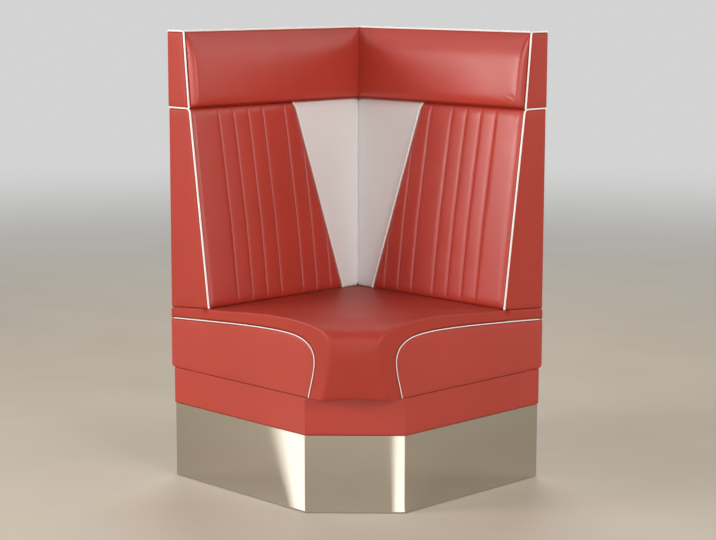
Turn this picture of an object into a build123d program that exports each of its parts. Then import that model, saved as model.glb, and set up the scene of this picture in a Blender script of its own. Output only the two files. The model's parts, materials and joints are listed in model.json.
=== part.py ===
from build123d import *

import os
from math import atan2, cos, pi, sin, sqrt, tan

# Corner unit of a restaurant booth. Two walls meet behind it: one along X, one along Y.
# The origin is on the floor, in the middle of the plan. +Z is up, and the slanted front
# faces +X -Y. Every piece of the left half is made in sizes that are measured from the left
# end face (u), from the wall behind the left back (d) and from the floor (z). The right half
# is the same, mirrored about the upright plane through the corner and the middle of the front.

# Overall sizes
unit_side = 676.0
unit_height = 1143.0
half = unit_side / 2

# Heights of the visible bands
kick_height = 192.0
base_height = 286.0
seat_seam = 454.0
roll_height = 193.0
back_seam = unit_height - roll_height

# Base carcass
base_inset = 8.0
base_front = 346.0
band_thick = 4.0
kick_thick = 1.5
kick_proud = 2.0
board = 18.0
glide_radius = 8.0
glide_height = 5.0
glide_sides = 12
block_side = 40.0
block_height = 60.0
block_back_share = 0.9

# Seat
rear_inset = 3.0
seat_front = 419.0
seat_thick = 186.0
seat_crown = 7.0
crown_middle = 90.0
crown_reach = 270.0
panel_thick = 8.0
seat_board_thick = 12.0
seat_board_top = 400.0
ledger_wide = 20.0
ledger_high = 30.0
end_board_inset = 12.0
bolt_radius = 4.0
bolt_head = 8.0
bolt_head_high = 5.0
bolt_sides = 6
bolt_length = 55.0

# Line of the piping on the seat end: heights at the back, at the bend and at the front corner
end_line_rear = 413.5
end_line_bend = 437.5
end_line_front = 434.0
end_line_reach = 555.0
end_line_foot = 517.0
end_bend_share = 0.62
end_bend_radius = 1200.0
end_corner_radius = 56.0
rear_corner_radius = 10.0
rear_edge_height = 442.0

# Backs
back_foot_depth = 150.0
back_head_depth = 83.0
back_panel_out = 3.5
back_rear = 3.0
front_board_thick = 9.0
rear_board_thick = 6.0
cushion_base = 12.0
inset_thick = 10.0
wide_channel = 91.0
narrow_channel = 49.5
middle_channel = 75.0
narrow_run = 3
channel_valley = 2.5
channel_crest_share = 0.045
vee_head = 354.0
vee_foot = 466.0
vee_bevel = 40.0
bevel_start = 3.0
corner_post_side = 32.0
rail_side = 30.0
middle_rib_share = 0.46
welt_corner = 12.0

# Head rolls
roll_foot_depth = 82.0
roll_head_depth = 64.0
roll_panel_out = 2.0
roll_board_thick = 12.0
roll_base = 10.0
roof_thick = 12.0
roll_bulge = 24.0
roll_end_round = 38.0

# Piping and gaps
welt_radius = 2.5
welt_sides = 8
welt_gap = 0.3
soft_gap = 0.4
seam_gap = 1.0
fit_gap = 0.2
overrun = 60.0

# Shapes as shares of the sizes that they follow
nose_shares = [(0.25, 0.9), (0.358, 0.925), (0.52, 0.968), (0.675, 0.998), (0.797, 0.998), (0.89, 0.97),
               (0.957, 0.917), (0.99, 0.842), (1.0, 0.74), (0.994, 0.5), (0.97, 0.22), (0.945, 0.0)]
crown_stations_shares = (-1.0, -0.5, 0.0, 0.5, 1.0)
puff_shares = [(0.0, 0.3), (0.05, 1.0), (0.95, 1.0), (1.0, 0.3)]
roll_shares = [(0.91, 0.42), (0.78, 0.8), (0.42, 1.0), (0.1, 0.92), (0.03, 0.6)]
roll_end_shares = [(0.0, 0.35), (0.35, 0.82), (1.0, 1.0)]

# Sizes worked out from the ones above
root_two = sqrt(2.0)
carcass_inset = base_inset + band_thick
carcass_front = base_front - band_thick
deck_top = base_height + board
back_rise = back_seam - seat_seam
back_rake = atan2(back_foot_depth - back_head_depth, back_rise)
head_top = unit_height - roof_thick
welt_top = unit_height - welt_radius
groove = welt_radius + welt_gap
back_low = seat_seam + seam_gap
back_high = back_seam - seam_gap
roll_low = back_seam + groove
roll_rake = atan2(roll_foot_depth - roll_head_depth, welt_top - back_seam)
post_out = back_rear + rear_board_thick + corner_post_side
middle_rib_at = middle_rib_share * unit_side
rib_rear = back_rear + rear_board_thick

DIAGONAL = Plane(origin=(0, 0, 0), z_dir=(1, 1, 0))
ALONG_DIAGONAL = Plane(origin=(0, 0, 0), x_dir=(1, -1, 0), z_dir=(-1, -1, 0))

os.makedirs("parts", exist_ok=True)


def save(name, piece):
    """Label a piece and write its file."""
    piece.part.label = name
    export_step(piece.part, f"parts/{name}.step")


def save_pair(name, left):
    """Write a piece of the left half and its mirror image on the right."""
    save(f"{name}_left", left)
    with BuildPart() as right:
        mirror(left.part, about=DIAGONAL)
    save(f"{name}_right", right)


def plan_corners(wall, end, front):
    """Five corners of the plan: the inner corner, right rear, right front, left front, left rear."""
    rear = half - wall
    side = half - end
    cut = front * root_two - side
    return [(-rear, rear), (side, rear), (side, -cut), (cut, -side), (-rear, -side)]


def ring_side(outer, inner, side):
    """Plan of one board of a mitred ring, between two outlines of the plan."""
    after = (side + 1) % len(outer)
    return [outer[side], outer[after], inner[after], inner[side]]


def outline(plane, points):
    """Sketch of straight lines on a plane."""
    with BuildSketch(plane) as drawn:
        with BuildLine():
            Polyline(points, close=True)
        make_face()
    return drawn.sketch


def prism(points, low, high, mode=Mode.ADD):
    """Upright solid on a plan of straight lines."""
    extrude(outline(Plane.XY.offset(low), points), amount=high - low, mode=mode)


def end_plane(u):
    """Upright plane across the left half at u from its end, with d to its right and z up."""
    return Plane(origin=(-half, u - half, 0), x_dir=(1, 0, 0), z_dir=(0, -1, 0))


def back_plane(n):
    """Plane of the reclined left back, n in front of its piping, with u to its right and v up the slope."""
    foot = Plane(origin=(back_foot_depth - half, -half, seat_seam), x_dir=(0, 1, 0),
                 z_dir=(cos(back_rake), 0, sin(back_rake)))
    return foot.offset(n)


def along_slope(z):
    """Distance up the slope of the back to a height."""
    return (z - seat_seam) / cos(back_rake)


def back_line(z, n=0):
    """Distance from the wall to the reclined back at a height, n in front of its piping."""
    return back_foot_depth - (z - seat_seam) * tan(back_rake) + n / cos(back_rake)


def roll_line(z, n=0):
    """Distance from the wall to the line of the head roll's end piping, n in front of it."""
    return roll_foot_depth - (z - back_seam) * tan(roll_rake) + n / cos(roll_rake)


def seam_line(d):
    """Height of the seam between seat and back on the end face."""
    return rear_edge_height + (seat_seam - rear_edge_height) * d / back_foot_depth


def keep_left(gap=0):
    """Cut a piece at the upright plane through the corner, and keep the left of it."""
    split(bisect_by=DIAGONAL.offset(-gap / 2), keep=Keep.BOTTOM)


def keep_between(low, high):
    """Cut a piece level at its foot and its head."""
    split(bisect_by=Plane.XY.offset(low), keep=Keep.TOP)
    split(bisect_by=Plane.XY.offset(high), keep=Keep.BOTTOM)


def side_slab(points, inner, outer):
    """Slab of the left half on a (d, z) outline, between two distances from the end face."""
    extrude(outline(end_plane(inner), points), amount=inner - outer)


def end_line(d):
    """Height of the straight rear stretch of the seat's end piping."""
    return end_line_rear + (end_line_bend - end_line_rear) * d / (end_line_reach * end_bend_share)


def seat_end_face(u, grow):
    """Sketch at u from the end of all that lies inside the seat's end piping, its edge moved out by grow."""
    with BuildSketch(end_plane(u)) as inside:
        with BuildLine():
            FilletPolyline((-overrun, end_line(-overrun)), (end_line_reach * end_bend_share, end_line_bend),
                           (end_line_reach, end_line_front), (end_line_foot, base_height),
                           radius=[end_bend_radius, end_corner_radius])
            Polyline((end_line_foot, base_height), (end_line_foot, 0), (-overrun, 0),
                     (-overrun, end_line(-overrun)))
        make_face()
        offset(amount=grow, mode=Mode.REPLACE)
    return inside.sketch


def piping(path):
    """Sweep the piping, drawn with a few flat sides, along a path."""
    with BuildSketch(Plane(origin=path @ 0, z_dir=path % 0)) as cord:
        RegularPolygon(radius=welt_radius, side_count=welt_sides)
    sweep(sections=cord.sketch, path=path)


# Base carcass: five mitred boards, a diagonal brace, glue blocks and floor glides

outer_plan = plan_corners(carcass_inset, carcass_inset, carcass_front)
inner_plan = plan_corners(carcass_inset + board, carcass_inset + board, carcass_front - board)
ring_names = ["rear_right", "end_right", "front", "end_left", "rear_left"]

for side, name in enumerate(ring_names):
    with BuildPart() as base_board:
        prism(ring_side(outer_plan, inner_plan, side), glide_height, base_height)
    save(f"base_board_{name}", base_board)

brace_rear = (half - carcass_inset - board) * root_two - board / 2
brace_front = carcass_front - board
with BuildPart() as base_brace:
    extrude(outline(ALONG_DIAGONAL.offset(-board / 2),
                    [(-brace_rear, glide_height), (brace_front, glide_height),
                     (brace_front, base_height), (-brace_rear, base_height)]), amount=board)
save("base_brace", base_brace)

block_out = carcass_inset + board
block_front = (base_front * root_two - half) * block_back_share + half
block_rows = [(block_out, block_out), (block_out, block_front - block_side)]
bolt_places = [(u + block_side / 2 - half, d + block_side / 2 - half) for u, d in block_rows]
with BuildPart() as base_blocks:
    for u, d in block_rows:
        prism([(d - half, u - half), (d + block_side - half, u - half),
               (d + block_side - half, u + block_side - half), (d - half, u + block_side - half)],
              base_height - block_height, base_height)
    with BuildSketch(Plane.XY.offset(base_height)):
        with Locations(*[(y, x) for x, y in bolt_places]):
            Circle(bolt_radius + fit_gap)
    extrude(amount=-block_height, mode=Mode.SUBTRACT)
    mirror(about=DIAGONAL)
save("base_blocks", base_blocks)

glide_inset = carcass_inset + board / 2
glide_plan = plan_corners(glide_inset, glide_inset, carcass_front - board / 2)
with BuildPart() as floor_glides:
    with BuildSketch(Plane.XY):
        with Locations(*glide_plan):
            RegularPolygon(radius=glide_radius, side_count=glide_sides)
    extrude(amount=glide_height)
save("floor_glides", floor_glides)

# Polished kick plates and the padded band above them

kick_inset = carcass_inset - kick_proud
kick_plan = plan_corners(kick_inset, kick_inset, carcass_front + kick_proud)
kick_back = plan_corners(kick_inset + kick_thick, kick_inset + kick_thick, carcass_front + kick_proud - kick_thick)
band_plan = plan_corners(base_inset, base_inset, base_front)
skin_names = {"end_right": "right", "front": "front", "end_left": "left"}

for ring_name, name in skin_names.items():
    side = ring_names.index(ring_name)
    with BuildPart() as kick_plate:
        prism(ring_side(kick_plan, kick_back, side), seam_gap, kick_height - soft_gap)
    save(f"kick_plate_{name}", kick_plate)
    with BuildPart() as band_cover:
        prism(ring_side(band_plan, outer_plan, side), kick_height, base_height - seam_gap)
    save(f"band_cover_{name}", band_cover)

# Seat box: deck, bolts, shaped end boards, front board, ledgers and the seat board

deck_plan = plan_corners(rear_inset, base_inset, base_front)
with BuildPart() as seat_deck:
    prism(deck_plan, base_height, deck_top)
    with BuildSketch(Plane.XY.offset(deck_top)):
        with Locations(*[(y, x) for x, y in bolt_places]):
            Circle(bolt_radius + fit_gap)
        with Locations(*[(-x, -y) for x, y in bolt_places]):
            Circle(bolt_radius + fit_gap)
    extrude(amount=-board, mode=Mode.SUBTRACT)
save("seat_deck", seat_deck)

with BuildPart() as seat_bolts:
    with BuildSketch(Plane.XY.offset(deck_top)):
        with Locations(*[(y, x) for x, y in bolt_places]):
            RegularPolygon(radius=bolt_head, side_count=bolt_sides)
    extrude(amount=bolt_head_high)
    with BuildSketch(Plane.XY.offset(deck_top)):
        with Locations(*[(y, x) for x, y in bolt_places]):
            Circle(bolt_radius)
    extrude(amount=-bolt_length)
    mirror(about=DIAGONAL)
save("seat_bolts", seat_bolts)

with BuildPart() as seat_end_board:
    extrude(seat_end_face(panel_thick + board, -end_board_inset), amount=board)
    keep_between(deck_top, seat_seam)
    split(bisect_by=back_plane(fit_gap - cushion_base), keep=Keep.TOP)
save_pair("seat_end_board", seat_end_board)

box_end = panel_thick + board + fit_gap
front_outer = plan_corners(rear_inset, box_end, base_front)
front_inner = plan_corners(rear_inset, box_end, base_front - board)
seat_board_low = seat_board_top - seat_board_thick
with BuildPart() as seat_front_board:
    prism(ring_side(front_outer, front_inner, ring_names.index("front")), deck_top, seat_board_low)
save("seat_front_board", seat_front_board)

ledger_low = seat_board_low - ledger_high
ledger_rear = back_line(ledger_low, -cushion_base) + fit_gap
with BuildPart() as seat_ledger:
    side_slab([(ledger_rear, ledger_low), (ledger_rear + ledger_wide, ledger_low),
               (ledger_rear + ledger_wide, seat_board_low), (ledger_rear, seat_board_low)], unit_side, box_end)
    keep_left()
save_pair("seat_ledger", seat_ledger)

with BuildPart() as seat_board:
    prism(plan_corners(back_line(seat_board_low, -cushion_base) + fit_gap, box_end, base_front),
          seat_board_low, seat_board_top)
save("seat_board", seat_board)

# Seat cushion: a crowned form with a rolled front, drawn over the seat box


def crown(q, share):
    """Rise of the seat's middle at q towards the front and at a share of the way to either end."""
    away = min(abs(q - crown_middle) / crown_reach, 1.0)
    return seat_crown * cos(away * pi / 2) ** 2 * cos(share * pi / 2) ** 4


def seat_section(share):
    """Upright section of the seat form, parallel to the diagonal."""
    q_rear = -half * root_two
    top = [(q * seat_front, base_height + z * seat_thick + crown(q * seat_front, share)) for q, z in nose_shares]
    level = [(q, seat_seam - seam_gap + crown(q, share)) for q in (-crown_reach / 2, 0)]
    with BuildSketch(ALONG_DIAGONAL.offset(share * half * root_two)) as section:
        with BuildLine():
            Spline((q_rear, seat_seam - seam_gap), *level, *top)
            Polyline(top[-1], (q_rear, base_height), (q_rear, seat_seam - seam_gap))
        make_face()
    return section.sketch


cavity_plan = plan_corners(-overrun, panel_thick + board, base_front + soft_gap)
deck_room = plan_corners(-overrun, panel_thick - soft_gap, base_front + soft_gap)
square_plan = [(-half, half), (half, half), (half, -half), (-half, -half)]
with BuildPart() as end_room:
    extrude(seat_end_face(panel_thick + soft_gap, groove), amount=panel_thick + soft_gap + overrun)
    extrude(seat_end_face(box_end + soft_gap, soft_gap - end_board_inset), amount=board + soft_gap)
    side_slab([(-overrun, 0), (back_line(0, -cushion_base) + soft_gap, 0),
               (back_line(unit_height, -cushion_base) + soft_gap, unit_height), (-overrun, unit_height)],
              unit_side + overrun, panel_thick - soft_gap)
    side_slab([(-overrun, seam_line(-overrun) - soft_gap),
               (back_foot_depth, seam_line(back_foot_depth) - seam_gap - soft_gap),
               (back_foot_depth, unit_height), (-overrun, unit_height)], panel_thick + soft_gap, -overrun)

with BuildPart() as seat_cushion:
    loft([seat_section(station_share) for station_share in crown_stations_shares])
    prism(square_plan, 0, unit_height, mode=Mode.INTERSECT)
    prism(cavity_plan, 0, seat_board_top + soft_gap, mode=Mode.SUBTRACT)
    prism(deck_room, 0, deck_top + soft_gap, mode=Mode.SUBTRACT)
    for room in (end_room.part, mirror(end_room.part, about=DIAGONAL, mode=Mode.PRIVATE)):
        add(room, mode=Mode.SUBTRACT)
save("seat_cushion", seat_cushion)

# Seat end panels, flat and padded, and the piping round them

with BuildPart() as seat_end_panel:
    extrude(seat_end_face(panel_thick, -groove), amount=panel_thick)
    split(bisect_by=Plane.XY.offset(base_height + seam_gap), keep=Keep.TOP)
    wall = Plane(origin=(-half, 0, 0), z_dir=(1, 0, 0))
    split(bisect_by=wall, keep=Keep.TOP)
    fillet(seat_end_panel.edges().filter_by(Axis.Y).group_by(Axis.X)[0], radius=rear_corner_radius)
save_pair("seat_end_panel", seat_end_panel)

with BuildPart() as seat_welt:
    with BuildLine(end_plane(welt_radius)) as welt_path:
        FilletPolyline((rear_corner_radius, end_line(rear_corner_radius)),
                       (end_line_reach * end_bend_share, end_line_bend),
                       (end_line_reach, end_line_front), (end_line_foot, base_height),
                       radius=[end_bend_radius, end_corner_radius])
    piping(welt_path.line)
    split(bisect_by=Plane.XY.offset(base_height + seam_gap), keep=Keep.TOP)
save_pair("seat_welt", seat_welt)

# Back frames: ribs, post, rail, front boards and rear boards

rib_front = cushion_base + front_board_thick
head_front = roll_base + roll_board_thick


def back_rib(u, top):
    """Rib of the left back, with its outer face at u and its head at a height."""
    side_slab([(rib_rear, deck_top), (back_line(deck_top, -rib_front), deck_top),
               (back_line(back_seam, -rib_front), back_seam), (roll_line(back_seam, -head_front), back_seam),
               (roll_line(top, -head_front), top), (rib_rear, top)], u + board, u)


with BuildPart() as back_end_rib:
    back_rib(panel_thick, head_top)
save_pair("back_end_rib", back_end_rib)

with BuildPart() as back_middle_rib:
    back_rib(middle_rib_at, head_top - rail_side)
save_pair("back_middle_rib", back_middle_rib)

with BuildPart() as back_top_rail:
    side_slab([(rib_rear, head_top - rail_side), (rib_rear + rail_side, head_top - rail_side),
               (rib_rear + rail_side, head_top), (rib_rear, head_top)], unit_side - post_out, panel_thick + board)
save_pair("back_top_rail", back_top_rail)

with BuildPart() as corner_post:
    prism([(rib_rear - half, half - rib_rear), (post_out - half, half - rib_rear),
           (post_out - half, half - post_out), (rib_rear - half, half - post_out)], deck_top, head_top)
save("corner_post", corner_post)

with BuildPart() as back_front_board:
    side_slab([(back_line(deck_top, -rib_front), deck_top), (back_line(deck_top, -cushion_base), deck_top),
               (back_line(back_seam, -cushion_base), back_seam), (back_line(back_seam, -rib_front), back_seam)],
              unit_side, panel_thick)
    keep_left()
save_pair("back_front_board", back_front_board)

with BuildPart() as roll_board:
    side_slab([(roll_line(back_seam, -head_front), back_seam), (roll_line(back_seam, -roll_base), back_seam),
               (roll_line(head_top, -roll_base), head_top), (roll_line(head_top, -head_front), head_top)],
              unit_side, panel_thick)
    keep_left()
save_pair("roll_board", roll_board)

with BuildPart() as back_rear_board:
    side_slab([(back_rear, deck_top), (rib_rear, deck_top), (rib_rear, head_top), (back_rear, head_top)],
              unit_side, panel_thick)
    keep_left()
save_pair("back_rear_board", back_rear_board)

# Lower backs: channelled cushion cut to a slanted edge, plain inset, piping, end panel

cushion_edge = back_panel_out + 2 * welt_radius + welt_gap


def channel_seams():
    """Distances from the end face to the stitched valleys, past the widest part of the cushion."""
    seams = [cushion_edge, cushion_edge + wide_channel]
    while seams[-1] < vee_foot + overrun:
        seams += [seams[-1] + narrow_channel * (step + 1) for step in range(narrow_run)]
        seams.append(seams[-1] + middle_channel)
    return seams


def channel_section(z, puff):
    """Level section of the channelled cushion at a height, its crests scaled by puff."""
    seams = channel_seams()
    level = Plane(origin=(back_line(z) - half, -half, z), x_dir=(0, 1, 0), z_dir=(0, 0, -1))
    with BuildSketch(level) as section:
        with BuildLine():
            for start, stop in zip(seams, seams[1:]):
                crest = channel_crest_share * (stop - start) * puff + (puff - 1) * channel_valley
                ThreePointArc((start, -channel_valley), ((start + stop) / 2, crest), (stop, -channel_valley))
            Polyline((seams[-1], -channel_valley), (seams[-1], -cushion_base),
                     (seams[0], -cushion_base), (seams[0], -channel_valley))
        make_face()
    return section.sketch


def beyond_vee(n, shift):
    """Sketch parallel to the slope of everything past the slanted edge, moved along by shift."""
    low = along_slope(back_low - overrun)
    high = along_slope(back_high + overrun)
    lean = (vee_foot - vee_head) / along_slope(back_seam)
    return outline(back_plane(n), [(vee_foot - lean * low + shift, low), (unit_side, low), (unit_side, high),
                                   (vee_foot - lean * high + shift, high)])


with BuildPart() as back_cushion:
    loft([channel_section(back_low + level_share * (back_high - back_low), puff_share)
          for level_share, puff_share in puff_shares], ruled=True)
    extrude(beyond_vee(-cushion_base - overrun, -groove), amount=overrun * 2, mode=Mode.SUBTRACT)
    extrude(beyond_vee(-bevel_start, -groove), amount=overrun, taper=-vee_bevel, mode=Mode.SUBTRACT)
save_pair("back_cushion", back_cushion)

with BuildPart() as back_inset:
    extrude(beyond_vee(-cushion_base, groove), amount=inset_thick)
    keep_between(back_low, back_high)
    keep_left(soft_gap)
save_pair("back_inset", back_inset)

vee_side = back_plane(-welt_radius)
with BuildPart() as inset_welt:
    with BuildLine(vee_side) as vee_path:
        Line((vee_foot, along_slope(back_low)), (vee_head, along_slope(back_high)))
    piping(vee_path.line)
    keep_between(back_low + welt_radius, back_high - welt_radius)
save_pair("inset_welt", inset_welt)

with BuildPart() as back_end_panel:
    panel_top = back_seam - groove
    with BuildSketch(end_plane(panel_thick)):
        with BuildLine():
            FilletPolyline((back_rear, seam_line(back_rear)), (back_line(seat_seam, -groove), seat_seam),
                           (back_line(panel_top, -groove), panel_top), (back_rear, panel_top),
                           radius=[0, 0, welt_corner - groove, 0], close=True)
        make_face()
    extrude(amount=panel_thick - back_panel_out)
save_pair("back_end_panel", back_end_panel)

end_welt_u = back_panel_out + welt_radius - welt_gap * 2
with BuildPart() as back_end_welt:
    with BuildLine(end_plane(end_welt_u)) as end_path:
        FilletPolyline((back_rear, back_seam), (back_line(back_seam), back_seam),
                       (back_line(back_low), back_low), radius=welt_corner)
    piping(end_path.line)
save_pair("back_end_welt", back_end_welt)

# Head rolls: a padded roll with a flat top, its end panel and the piping along its edges

roll_start = roll_panel_out + 2 * welt_radius + 2 * welt_gap


def roll_section(u, fullness):
    """Section of the head roll at u from the end, its front bulge scaled by fullness."""
    top = welt_top - groove
    low = roll_low
    front = [(roll_line(low + share * (top - low)) + roll_bulge * fullness * bulge, low + share * (top - low))
             for share, bulge in roll_shares]
    foot = (roll_line(low), low)
    with BuildSketch(end_plane(u)) as section:
        with BuildLine():
            ThreePointArc((roll_line(top), top), front[0], front[1])
            ThreePointArc(front[1], front[2], front[3])
            ThreePointArc(front[3], front[4], foot)
            Polyline(foot, (roll_line(low, -roll_base), low),
                     (roll_line(head_top, -roll_base), head_top), (roll_panel_out, head_top),
                     (roll_panel_out, welt_top), (roll_line(welt_top) - groove, welt_top),
                     (roll_line(welt_top) - groove, top), (roll_line(top), top))
        make_face()
    return section.sketch


with BuildPart() as head_roll:
    loft([roll_section(roll_start + reach_share * roll_end_round, fullness_share)
          for reach_share, fullness_share in roll_end_shares]
         + [roll_section(unit_side - roll_panel_out, roll_end_shares[-1][1])], ruled=True)
    keep_left(soft_gap)
save_pair("head_roll", head_roll)

with BuildPart() as roll_end_panel:
    panel_top = welt_top - groove
    with BuildSketch(end_plane(roll_start - fit_gap)):
        with BuildLine():
            FilletPolyline((roll_panel_out, roll_low), (roll_line(roll_low, -groove), roll_low),
                           (roll_line(panel_top, -groove), panel_top), (roll_panel_out, panel_top),
                           radius=[0, 0, 2 * welt_radius - groove, 0], close=True)
        make_face()
    extrude(amount=roll_start - fit_gap - roll_panel_out)
save_pair("roll_end_panel", roll_end_panel)

with BuildPart() as roll_end_welt:
    with BuildLine(end_plane(roll_panel_out + welt_radius)) as roll_path:
        FilletPolyline((roll_panel_out, welt_top), (roll_line(welt_top), welt_top),
                       (roll_line(roll_low), roll_low), radius=welt_radius * 2)
    piping(roll_path.line)
save_pair("roll_end_welt", roll_end_welt)

with BuildPart() as roll_top_welt:
    with BuildSketch(end_plane(unit_side)):
        with Locations((roll_line(welt_top), welt_top)):
            RegularPolygon(radius=welt_radius, side_count=welt_sides)
    extrude(amount=unit_side - roll_start)
    keep_left()
save_pair("roll_top_welt", roll_top_welt)
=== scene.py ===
"""Corner unit of a restaurant booth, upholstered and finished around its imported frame."""
import json
import logging
from dataclasses import dataclass
from enum import Enum
from math import atan2, cos, pi, radians, sin, sqrt, tan
from typing import Callable, Iterable, Optional, Sequence

import bmesh
import bpy
import numpy as np
from mathutils import Matrix, Vector
from mathutils.geometry import delaunay_2d_cdt
from mathutils.kdtree import KDTree


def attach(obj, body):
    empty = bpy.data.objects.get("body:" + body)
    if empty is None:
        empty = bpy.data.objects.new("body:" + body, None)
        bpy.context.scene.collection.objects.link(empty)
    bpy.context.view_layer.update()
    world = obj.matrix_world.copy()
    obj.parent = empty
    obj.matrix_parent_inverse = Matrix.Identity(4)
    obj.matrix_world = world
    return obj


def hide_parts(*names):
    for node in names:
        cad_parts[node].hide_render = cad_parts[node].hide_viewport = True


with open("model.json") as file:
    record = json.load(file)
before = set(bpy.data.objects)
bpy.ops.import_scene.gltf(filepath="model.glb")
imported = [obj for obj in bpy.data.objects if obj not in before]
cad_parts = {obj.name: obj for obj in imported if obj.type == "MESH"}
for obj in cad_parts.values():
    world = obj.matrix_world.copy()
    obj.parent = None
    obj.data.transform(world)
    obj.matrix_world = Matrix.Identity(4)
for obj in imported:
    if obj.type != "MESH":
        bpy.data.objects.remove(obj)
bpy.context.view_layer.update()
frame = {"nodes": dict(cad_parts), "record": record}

MM = 0.001
ROOT_TWO = sqrt(2.0)
TINY = 1e-9
LOG = logging.getLogger("booth")

Piece = bpy.types.Object
Material = bpy.types.Material
Socket = bpy.types.NodeSocket
Point = tuple[float, float]
Triple = tuple[float, float, float]
Place = Callable[[np.ndarray], np.ndarray]


# Sizes and directions


@dataclass(frozen=True)
class Bench:
    """Sizes of the bench in millimetres: u from an end face, d from the wall behind, z from the floor."""

    side: float = 676.0
    height: float = 1143.0
    base_top: float = 286.0
    kick_top: float = 192.0
    seat_seam: float = 454.0
    back_seam: float = 950.0
    back_foot: float = 150.0
    back_head: float = 83.0
    roll_foot: float = 82.0
    roll_head: float = 64.0
    vee_head: float = 356.5
    vee_foot: float = 469.0
    welt: float = 2.5
    groove: float = 2.8
    base_front: float = 346.0
    base_inset: float = 8.0
    head_top: float = 1131.0

    @property
    def half(self) -> float:
        """Half the side of the plan."""
        return self.side / 2

    @property
    def rake(self) -> float:
        """Lean of the lower back, in radians."""
        return atan2(self.back_foot - self.back_head, self.back_seam - self.seat_seam)

    @property
    def welt_top(self) -> float:
        """Height of the middle of the top piping."""
        return self.height - self.welt

    @property
    def roll_rake(self) -> float:
        """Lean of the head roll's end piping, in radians."""
        return atan2(self.roll_foot - self.roll_head, self.welt_top - self.back_seam)

    def back_line(self, z: float, n: float = 0.0) -> float:
        """Distance from the wall to the lower back at a height, n in front of its piping."""
        return self.back_foot - (z - self.seat_seam) * tan(self.rake) + n / cos(self.rake)

    def roll_line(self, z: float, n: float = 0.0) -> float:
        """Distance from the wall to the head roll's end piping at a height, n in front of it."""
        return self.roll_foot - (z - self.back_seam) * tan(self.roll_rake) + n / cos(self.roll_rake)

    def slope(self, z: float) -> float:
        """Distance up the lower back from its foot to a height."""
        return (z - self.seat_seam) / cos(self.rake)


BENCH = Bench()


class Half(Enum):
    """The two halves of the bench, which mirror each other."""

    LEFT = "left"
    RIGHT = "right"

    def place(self, points: np.ndarray) -> np.ndarray:
        """Frame coordinates in metres.

        Args:
            points: (..., 3) array of u, d and z in millimetres.
        Returns:
            An array of the same shape, of x, y and z in metres.
        """
        u, d, z = points[..., 0], points[..., 1], points[..., 2]
        if self is Half.LEFT:
            out = (d - BENCH.half, u - BENCH.half, z)
        else:
            out = (BENCH.half - u, BENCH.half - d, z)
        return np.stack(out, -1) * MM

    def beside_end(self, u: float, line: np.ndarray) -> np.ndarray:
        """A line (d, z) at a distance from the end face, in frame metres."""
        return self.place(np.column_stack((np.full(len(line), u), line)))

    def on_end(self, face: float) -> Place:
        """Placing of a pad on the end face: (d, z, height) with the pad's zero height at u = face."""
        return lambda p: self.place(np.stack((face - p[..., 2], p[..., 0], p[..., 1]), -1))

    def on_back(self, p: np.ndarray) -> np.ndarray:
        """Placing of a pad on the reclined back: (u, distance up the slope, height) in millimetres."""
        u, v, n = p[..., 0], p[..., 1], p[..., 2]
        lean = BENCH.rake
        return self.place(np.stack((u, BENCH.back_foot - v * sin(lean) + n * cos(lean),
                                    BENCH.seat_seam + v * cos(lean) + n * sin(lean)), -1))


# Lines in a plane


def at_height(plan: np.ndarray, z: float) -> np.ndarray:
    """Points of a plan at one height."""
    return np.column_stack((plan, np.full(len(plan), z)))


def run_along(path: np.ndarray) -> np.ndarray:
    """How far along a path each of its points is."""
    return np.concatenate(([0.0], np.cumsum(np.linalg.norm(np.diff(path, axis=0), axis=1))))


def resample(path: np.ndarray, step: float, closed: bool = False) -> np.ndarray:
    """The path with points about step apart, its ends kept."""
    if closed:
        path = np.vstack((path, path[:1]))
    run = run_along(path)
    count = max(int(round(run[-1] / step)), 1)
    at = np.linspace(0.0, run[-1], count + 1)
    out = np.stack([np.interp(at, run, path[:, k]) for k in range(path.shape[1])], -1)
    return out[:-1] if closed else out


def smooth_line(points: Sequence[Point], step: float) -> np.ndarray:
    """A smooth curve through points, sampled about every step."""
    knots = np.array(points, float)
    ends = np.vstack((2 * knots[0] - knots[1], knots, 2 * knots[-1] - knots[-2]))
    out = []
    for a, b, c, d in zip(ends, ends[1:], ends[2:], ends[3:]):
        t1 = sqrt(max(np.linalg.norm(b - a), 1e-6))
        t2 = t1 + sqrt(max(np.linalg.norm(c - b), 1e-6))
        t3 = t2 + sqrt(max(np.linalg.norm(d - c), 1e-6))
        for t in np.linspace(t1, t2, 12, endpoint=False):
            p = [(t1 - t) / t1 * a + t / t1 * b, (t2 - t) / (t2 - t1) * b + (t - t1) / (t2 - t1) * c,
                 (t3 - t) / (t3 - t2) * c + (t - t2) / (t3 - t2) * d]
            q = [(t2 - t) / t2 * p[0] + t / t2 * p[1], (t3 - t) / (t3 - t1) * p[1] + (t - t1) / (t3 - t1) * p[2]]
            out.append((t2 - t) / (t2 - t1) * q[0] + (t - t1) / (t2 - t1) * q[1])
    out.append(knots[-1])
    return resample(np.array(out), step)


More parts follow.
